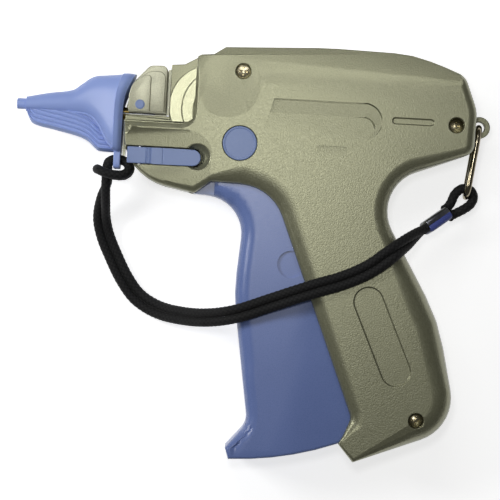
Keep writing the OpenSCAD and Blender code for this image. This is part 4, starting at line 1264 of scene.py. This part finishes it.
@dataclass
class NeedleCover:
    """Blue cover over the needle: flared sleeve with a bore and a nub, ribbed keel and the eye for the strap."""

    palette: Palette
    back_x: float = -44.1
    mid: float = PARTING
    bore: tuple[tuple[float, ...], ...] = (
        (32.1, 46.3, 43.3, 1.5, 0, 2), (6.4, 46.3, 43.3, 1.5, 0, 2), (6.3, 46.95, 42.65, 2.15, 0, 2),
        (0.0, 46.95, 42.65, 2.15, 0, 2),
    )
    lip: tuple[tuple[float, ...], ...] = (
        (0.0, 58.1, 31.2, 6.6, 3.8, 5), (1.2, 58.3, 31.2, 8.0, 3, 5), (2.7, 58.2, 31.8, 8.6, 2.2, 5),
    )
    flare: tuple[tuple[float, ...], ...] = (
        (2.9, 57.8, 32.2, 8.1, 2.1, 5), (4.7, 57.5, 33.9, 7.4, 1, 4.4), (7.3, 57.2, 38.3, 6.4, 0.3, 3.6),
        (9.4, 57.0, 41.0, 5.7, 0, 3), (11.7, 56.1, 42.4, 5.0, 0, 2.5), (14.4, 54.1, 43.0, 4.3, 0, 2.2),
        (17.6, 51.8, 43.3, 3.7, 0, 2), (25.4, 50.4, 43.5, 3.1, 0, 2), (33.1, 48.7, 43.7, 2.6, 0, 2),
    )
    nub: tuple[tuple[float, ...], ...] = (
        (33.2, 48.05, 44.35, 1.85, 0, 2), (36.0, 48.05, 44.35, 1.85, 0, 2), (36.25, 47.8, 44.6, 1.6, 0, 2),
    )
    crest: tuple[float, float] = (46.0, 58.0)
    edge: tuple[tuple[float, float], ...] = (
        (33.0, 44.3), (32.2, 42.0), (30.4, 39.6), (23.3, 37.9), (15.2, 36.1), (11.6, 34.6), (8.9, 32.3), (7.6, 31.5),
        (1.0, 31.3),
    )
    keel_half: float = 2.6
    keel_top: float = 44.6
    rib_first: float = 1.2
    rib_pitch: float = 1.5
    rib_count: int = 5
    rib_half: float = 0.42
    rib_rise: float = 0.42
    keel_cells: tuple[int, int] = (110, 90)
    keel_step: float = 0.2
    keel_crowd: float = 1.3
    keel_round: float = 1.2
    keel_least: float = 0.5
    seam: float = 0.004
    bead_r: float = 0.42
    bead_spokes: tuple[int, int] = (19, 29)
    bead_step: float = 0.4
    bead_sides: int = 12
    eye_rims: tuple[tuple[float, float, float, float], ...] = ((29.4, 3.6, 4.8, 7.0), (28.9, 1.65, 3.4, 3.2))
    eye_sides: int = 56
    eye_depths: tuple[float, float] = (2.4, 0.1)
    eye_edge: float = 0.3
    eye_angle: float = 60.0
    crease: float = 34.0

    def ring(self, row: Sequence[float], count: int = 48) -> list[Vector]:
        """Ring of one section.

        Args:
            row: Distance in front of the back face, upper and lower edge, half width, lean and squareness.
            count: Points round it.

        Returns:
            The points.
        """
        distance, top, bottom, half, lean, power = row
        points = []
        for k in range(count):
            c, d = math.cos(math.tau * k / count), math.sin(math.tau * k / count)
            reach = (abs(c) ** power + abs(d) ** power) ** (-1 / power)
            y = (top + bottom) / 2 + (top - bottom) / 2 * reach * c
            rise = max(0.0, y - self.crest[0]) / (self.crest[1] - self.crest[0])
            points.append(mm(self.back_x - distance + lean * rise * rise, y, self.mid - half * reach * d))
        return points

    def sleeve(self) -> bmesh.types.BMesh:
        """Flared sleeve, from the bottom of its bore out to the nub."""
        rows = list(self.bore) + between(self.lip, 3) + between(self.flare, 4) + list(self.nub)
        return loft([self.ring(row) for row in rows])

    def bead(self, spoke: int) -> bmesh.types.BMesh:
        """Fine ridge along one flank of the sleeve, where the keel starts.

        Args:
            spoke: Point of the sections that the ridge follows.

        Returns:
            The ridge.
        """
        path = through([self.ring(row)[spoke] for row in self.flare], self.bead_step)
        return sweep(path, self.bead_r * MM, self.bead_sides)

    def keel(self) -> bmesh.types.BMesh:
        """Keel under the sleeve, with ribs along its lower edge.

        Returns:
            The keel.
        """
        line = through([mm(self.back_x - d, y, 0) for d, y in self.edge], self.keel_step)
        bm = bmesh.new()
        across, down = self.keel_cells
        bmesh.ops.create_grid(bm, x_segments=across, y_segments=down, size=0.5)
        for vert in bm.verts:
            at = line[round((vert.co.x + 0.5) * (len(line) - 1))]
            room = max(self.keel_top * MM - at.y, 0.0) / MM
            up = room * (vert.co.y + 0.5) ** self.keel_crowd
            turn = 1 - min(up / self.keel_round, 1.0)
            rib = min(abs(up - self.rib_first - self.rib_pitch * i) for i in range(self.rib_count)) / self.rib_half
            level = self.keel_half * math.sqrt(1 - turn * turn) + self.rib_rise * max(0.0, 1 - rib * rib)
            vert.co = Vector((at.x, at.y + up * MM, level * MM if room > self.keel_least else 0.0))
        bmesh.ops.remove_doubles(bm, verts=bm.verts[:], dist=self.seam * MM)
        other = bm.copy()
        bmesh.ops.scale(other, vec=Vector((1, 1, -1)), verts=other.verts[:])
        bmesh.ops.reverse_faces(other, faces=other.faces[:])
        take_in(bm, other)
        bmesh.ops.remove_doubles(bm, verts=bm.verts[:], dist=self.seam * MM)
        bmesh.ops.translate(bm, vec=mm(0, 0, self.mid), verts=bm.verts[:])
        return bm

    def eye(self) -> bmesh.types.BMesh:
        """Plate with a long hole at the foot of the flange.

        Returns:
            The plate.
        """
        bm = bmesh.new()
        front, behind = self.eye_depths
        for middle, high, wide, power in self.eye_rims:
            for vert in bmesh.ops.create_circle(bm, cap_ends=False, radius=1.0, segments=self.eye_sides)["verts"]:
                c, d = vert.co.x, vert.co.y
                reach = (abs(c) ** power + abs(d) ** power) ** (-1 / power)
                vert.co = mm(self.back_x - front, middle + high * reach * c, self.mid + wide * reach * d)
        bmesh.ops.bridge_loops(bm, edges=bm.edges[:])
        back = bmesh.ops.extrude_face_region(bm, geom=bm.faces[:])["geom"]
        bmesh.ops.translate(bm, vec=mm(front - behind, 0, 0), verts=verts_of(back))
        bmesh.ops.recalc_face_normals(bm, faces=bm.faces[:])
        soften(bm, self.eye_edge, self.eye_angle)
        return bm

    def build(self) -> None:
        """Makes the cover as one piece."""
        beads = [self.bead(spoke) for spoke in self.bead_spokes]
        cover = take_in(self.sleeve(), self.keel(), self.eye(), *beads)
        piece = creased_piece(cover, "needle_cover", self.crease)
        settle(piece, self.palette, Body.NEEDLE_CAP, Slot.CAP, "needle_cap")


@dataclass
class NoseBlock:
    """Stepped metal block in front of the clip slot, with the bored stem of the CAD below its slit, and thin plates
    in the gaps that stand in for painted shade.
    """

    palette: Palette
    front: float = -42.2
    mid: float = PARTING
    slit: float = 45.4
    slope: tuple[float, float, float] = (-41.1, 55.2, 5.0)
    chin: float = 51.0
    crest: float = -35.6
    layers: tuple[tuple[float, float, float, float], ...] = (
        (9.5, -34.9, 58.75, 1.5), (7.9, -30.1, 59.45, 2.6), (6.35, -29.6, 61.45, 2.0),
    )
    # Painted shade: thin plates in the clip slot and in the gaps by the cap's flange, so these show dark instead of
    # the floor through them.
    shade_screens: tuple[tuple[tuple[float, float, float], ...], ...] = (
        ((-29.7, 45.2, 0.0), (-28.3, 45.2, 0.0), (-28.3, 60.8, 0.0), (-29.7, 60.8, 0.0)),
        ((-44.0, 30.6, 0.0), (-43.0, 30.6, 0.0), (-43.0, 45.6, 0.0), (-44.0, 45.6, 0.0)),
        ((-43.9, 45.4, 0.0), (-41.6, 45.4, 0.0), (-40.6, 54.4, 0.0), (-41.8, 54.4, 0.0)),
    )
    shade_screen_levels: tuple[float, float] = (7.8, 8.8)
    crest_drop: float = 0.3
    crest_round: float = 2.2
    chin_round: float = 3.0
    edge: float = 0.35
    edge_angle: float = 55.0
    lap: float = 0.1
    crease: float = 40.0

    def layer(self, row: tuple[float, float, float, float]) -> bmesh.types.BMesh:
        """One layer of the block.

        Args:
            row: Half width, back face, top edge and radius of the upper back corner.

        Returns:
            The layer.
        """
        half, back, top, radius = row
        corners = [(self.front, self.slit, 0.0), (back, self.slit, 0.0), (back, top, radius)]
        if back > self.crest + 1:
            corners.append((self.crest, top - self.crest_drop, self.crest_round))
        corners += [self.slope, (self.front, self.chin, self.chin_round)]
        bm = plate(corners, self.mid - half, self.mid + half)
        soften(bm, self.edge, self.edge_angle)
        return bm

    def build(self) -> None:
        """Makes the block."""
        stem = merged_copy("nose_block")
        cut = mm(0, self.slit + self.lap, 0)
        bmesh.ops.bisect_plane(
            stem, geom=whole(stem), plane_co=cut, plane_no=Vector((0, 1, 0)), clear_outer=True
        )
        # Painted shade: the plates that close the gaps.
        shade_screens = [plate(corners, *self.shade_screen_levels) for corners in self.shade_screens]
        take_in(stem, *(self.layer(row) for row in self.layers), *shade_screens)
        piece = creased_piece(stem, "nose_guide_block", self.crease)
        settle(piece, self.palette, Body.CASING, Slot.BLOCK, "nose_block")


@dataclass
class LockStrip:
    """Blue strip on the nose, with fine grooves across it near its hinge."""

    palette: Palette
    grooves: tuple[float, ...] = (-34.9, -33.6, -29.5)
    half: float = 0.14
    lip: float = 0.12
    depth: float = 0.22
    top: float = 27.5
    slack: float = 0.01
    edge: float = 0.3
    edge_angle: float = 50.0

    def build(self) -> None:
        """Makes the strip."""
        bm = merged_copy("lock_lever")
        for x in self.grooves:
            for step in (-self.half - self.lip, -self.half, self.half, self.half + self.lip):
                bmesh.ops.bisect_plane(bm, geom=whole(bm), plane_co=mm(x + step, 0, 0), plane_no=Vector((1, 0, 0)))
            for vert in bm.verts:
                in_groove = abs(vert.co.x - x * MM) < (self.half + self.slack) * MM
                if in_groove and vert.co.z > (self.top - self.slack) * MM:
                    vert.co.z -= self.depth * MM
        piece = rounded_piece(bm, "lock_strip", self.edge, self.edge_angle)
        settle(piece, self.palette, Body.LOCK_LEVER, Slot.FITTING, "lock_lever")


@dataclass
class RimmedEnds:
    """Pin or disc that shows its ends, each with a fine raised rim."""

    palette: Palette
    node: str
    name: str
    body: Body
    rim: float
    sink: float
    edge: float = 0.25
    edge_angle: float = 60.0
    slope: float = 0.15
    least_sides: int = 9
    slack: float = 0.1
    facing: float = 0.99

    def build(self) -> None:
        """Makes the piece."""
        bm = merged_copy(self.node)
        low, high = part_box(self.node)
        ends = []
        for face in bm.faces:
            level = face.calc_center_median().z
            outermost = min(level - low[2], high[2] - level) < self.slack * MM
            if outermost and len(face.verts) >= self.least_sides and abs(face.normal.z) > self.facing:
                ends.append(face)
        bmesh.ops.inset_individual(bm, faces=ends, thickness=self.rim * MM)
        bmesh.ops.inset_individual(bm, faces=ends, thickness=self.slope * MM, depth=-self.sink * MM)
        piece = rounded_piece(bm, self.name, self.edge, self.edge_angle)
        settle(piece, self.palette, self.body, Slot.FITTING, self.node)


@dataclass
class TriggerBlade:
    """Trigger with a broad round along its front, which fades towards the thin tongue and the foot."""

    palette: Palette
    mid: float = PARTING
    half: float = 10.5
    tongue_fade: tuple[float, float, float] = (-11.0, -5.0, 1.0)
    foot_fade: tuple[float, float, float] = (-55.0, -38.0, 1.2)
    broad: float = 5.0
    cuts_x: tuple[float, float, float] = (-12.0, 10.4, 0.8)
    cuts_y: tuple[float, float, float] = (-66.0, 22.0, 2.0)
    front_reach: tuple[float, float, float] = (7.0, -66.5, 21.5)
    # Painted shade: plate across the hole under the tongue, so it shows dark instead of the floor through it.
    shade_web: tuple[tuple[float, float, float], ...] = (
        (-14.6, 20.6, 0.0), (-11.0, 20.6, 0.0), (-11.0, 22.8, 0.0), (-14.6, 22.8, 0.0),
    )
    shade_web_half: float = 8.05
    upright: float = 0.05
    mid_slack: float = 0.3
    facing: tuple[float, float] = (-0.1, -0.3)
    crease: float = 36.0

    def front(self, bm: bmesh.types.BMesh) -> list[tuple[Vector, Vector]]:
        """Lines of the front edge in plan.

        Args:
            bm: Trigger before it is cut.

        Returns:
            Start and end of each line, in millimetres.
        """
        back, low, high = self.front_reach
        lines = []
        for face in bm.faces:
            at, out = face.calc_center_median() / MM, face.normal
            upright = abs(out.z) < self.upright and abs(at.z - self.mid) < self.mid_slack
            forward = out.x < self.facing[0] or out.y < self.facing[1]
            if upright and forward and at.x < back and low < at.y < high:
                along = Vector((out.y, -out.x))
                spots = sorted((v.co.xy / MM for v in face.verts), key=along.dot)
                lines.append((spots[0], spots[-1]))
        LOG.info("trigger front has %d lines", len(lines))
        return lines

    def room(self, spot: Vector, lines: Sequence[tuple[Vector, Vector]]) -> float:
        """Half thickness of the trigger at a place in plan.

        Args:
            spot: Place in millimetres.
            lines: Front edge.

        Returns:
            The half thickness in millimetres.
        """
        radius = self.broad
        for place, (start, end, small) in ((spot.x, self.tongue_fade), (spot.y, self.foot_fade)):
            share = min(max((place - start) / (end - start), 0.0), 1.0)
            radius = min(radius, small + (self.broad - small) * share)
        gap = radius
        for start, end in lines:
            _, share = intersect_point_line(spot, start, end)
            gap = min(gap, (start.lerp(end, min(max(share, 0.0), 1.0)) - spot).length)
        return self.half - radius + math.sqrt(radius**2 - (radius - gap) ** 2)

    def build(self) -> None:
        """Makes the trigger."""
        bm = merged_copy("trigger")
        lines = self.front(bm)
        for way, (low, high, step) in ((Vector((1, 0, 0)), self.cuts_x), (Vector((0, 1, 0)), self.cuts_y)):
            for k in range(round((high - low) / step) + 1):
                near = [f for f in bm.faces if way.x or f.calc_center_median().x < self.cuts_x[1] * MM]
                edges = dict.fromkeys(e for f in near for e in f.edges)
                verts = dict.fromkeys(v for f in near for v in f.verts)
                bmesh.ops.bisect_plane(
                    bm, geom=[*verts, *edges, *near], plane_co=way * (low + step * k) * MM, plane_no=way
                )
        for vert in bm.verts:
            level = vert.co.z / MM - self.mid
            room = self.room(vert.co.xy / MM, lines)
            if abs(level) > room:
                vert.co.z = (self.mid + math.copysign(room, level)) * MM
        # Painted shade: the plate that closes the hole under the tongue.
        take_in(bm, plate(self.shade_web, self.mid - self.shade_web_half, self.mid + self.shade_web_half))
        piece = creased_piece(bm, "trigger_blade", self.crease)
        settle(piece, self.palette, Body.TRIGGER, Slot.TRIGGER, "trigger")


@dataclass
class Works:
    """Inner pieces, which keep their CAD shapes."""

    palette: Palette
    plain: dict[str, Slot] = field(default_factory=lambda: {
        "needle_base": Slot.BRASS,
        "needle": Slot.STEEL,
        "lock_lever_pin": Slot.STEEL,
        "drive_pin": Slot.STEEL,
        "feed_pawl": Slot.STEEL,
        "drive_lever": Slot.NYLON,
        "lever_pin": Slot.STEEL,
        "return_spring": Slot.STEEL,
        "slider": Slot.NYLON,
        "slider_pin": Slot.STEEL,
        "push_rod": Slot.STEEL,
        "rod_guide": Slot.BRASS,
        "feed_wheel": Slot.NYLON,
        "wheel_axle": Slot.STEEL,
    })

    def build(self) -> None:
        """Dresses the inner pieces."""
        for node, slot in self.plain.items():
            self.palette.dress(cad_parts[node], slot)
            LOG.info("%s keeps its CAD shape", node)


def main() -> None:
    """Builds the scene, piece by piece."""
    logging.basicConfig(level=logging.INFO, format="%(message)s")
    Studio().build()
    palette = Palette()
    Strap(palette).build()
    Casing(palette).build()
    NeedleCover(palette).build()
    NoseBlock(palette).build()
    LockStrip(palette).build()
    RimmedEnds(palette, "pivot_caps", "pivot_discs", Body.TRIGGER, 0.75, 0.16).build()
    RimmedEnds(palette, "block_pin", "block_cross_pin", Body.CASING, 0.4, -0.15, 0.2).build()
    TriggerBlade(palette).build()
    Works(palette).build()


if __name__ == "__main__":
    main()
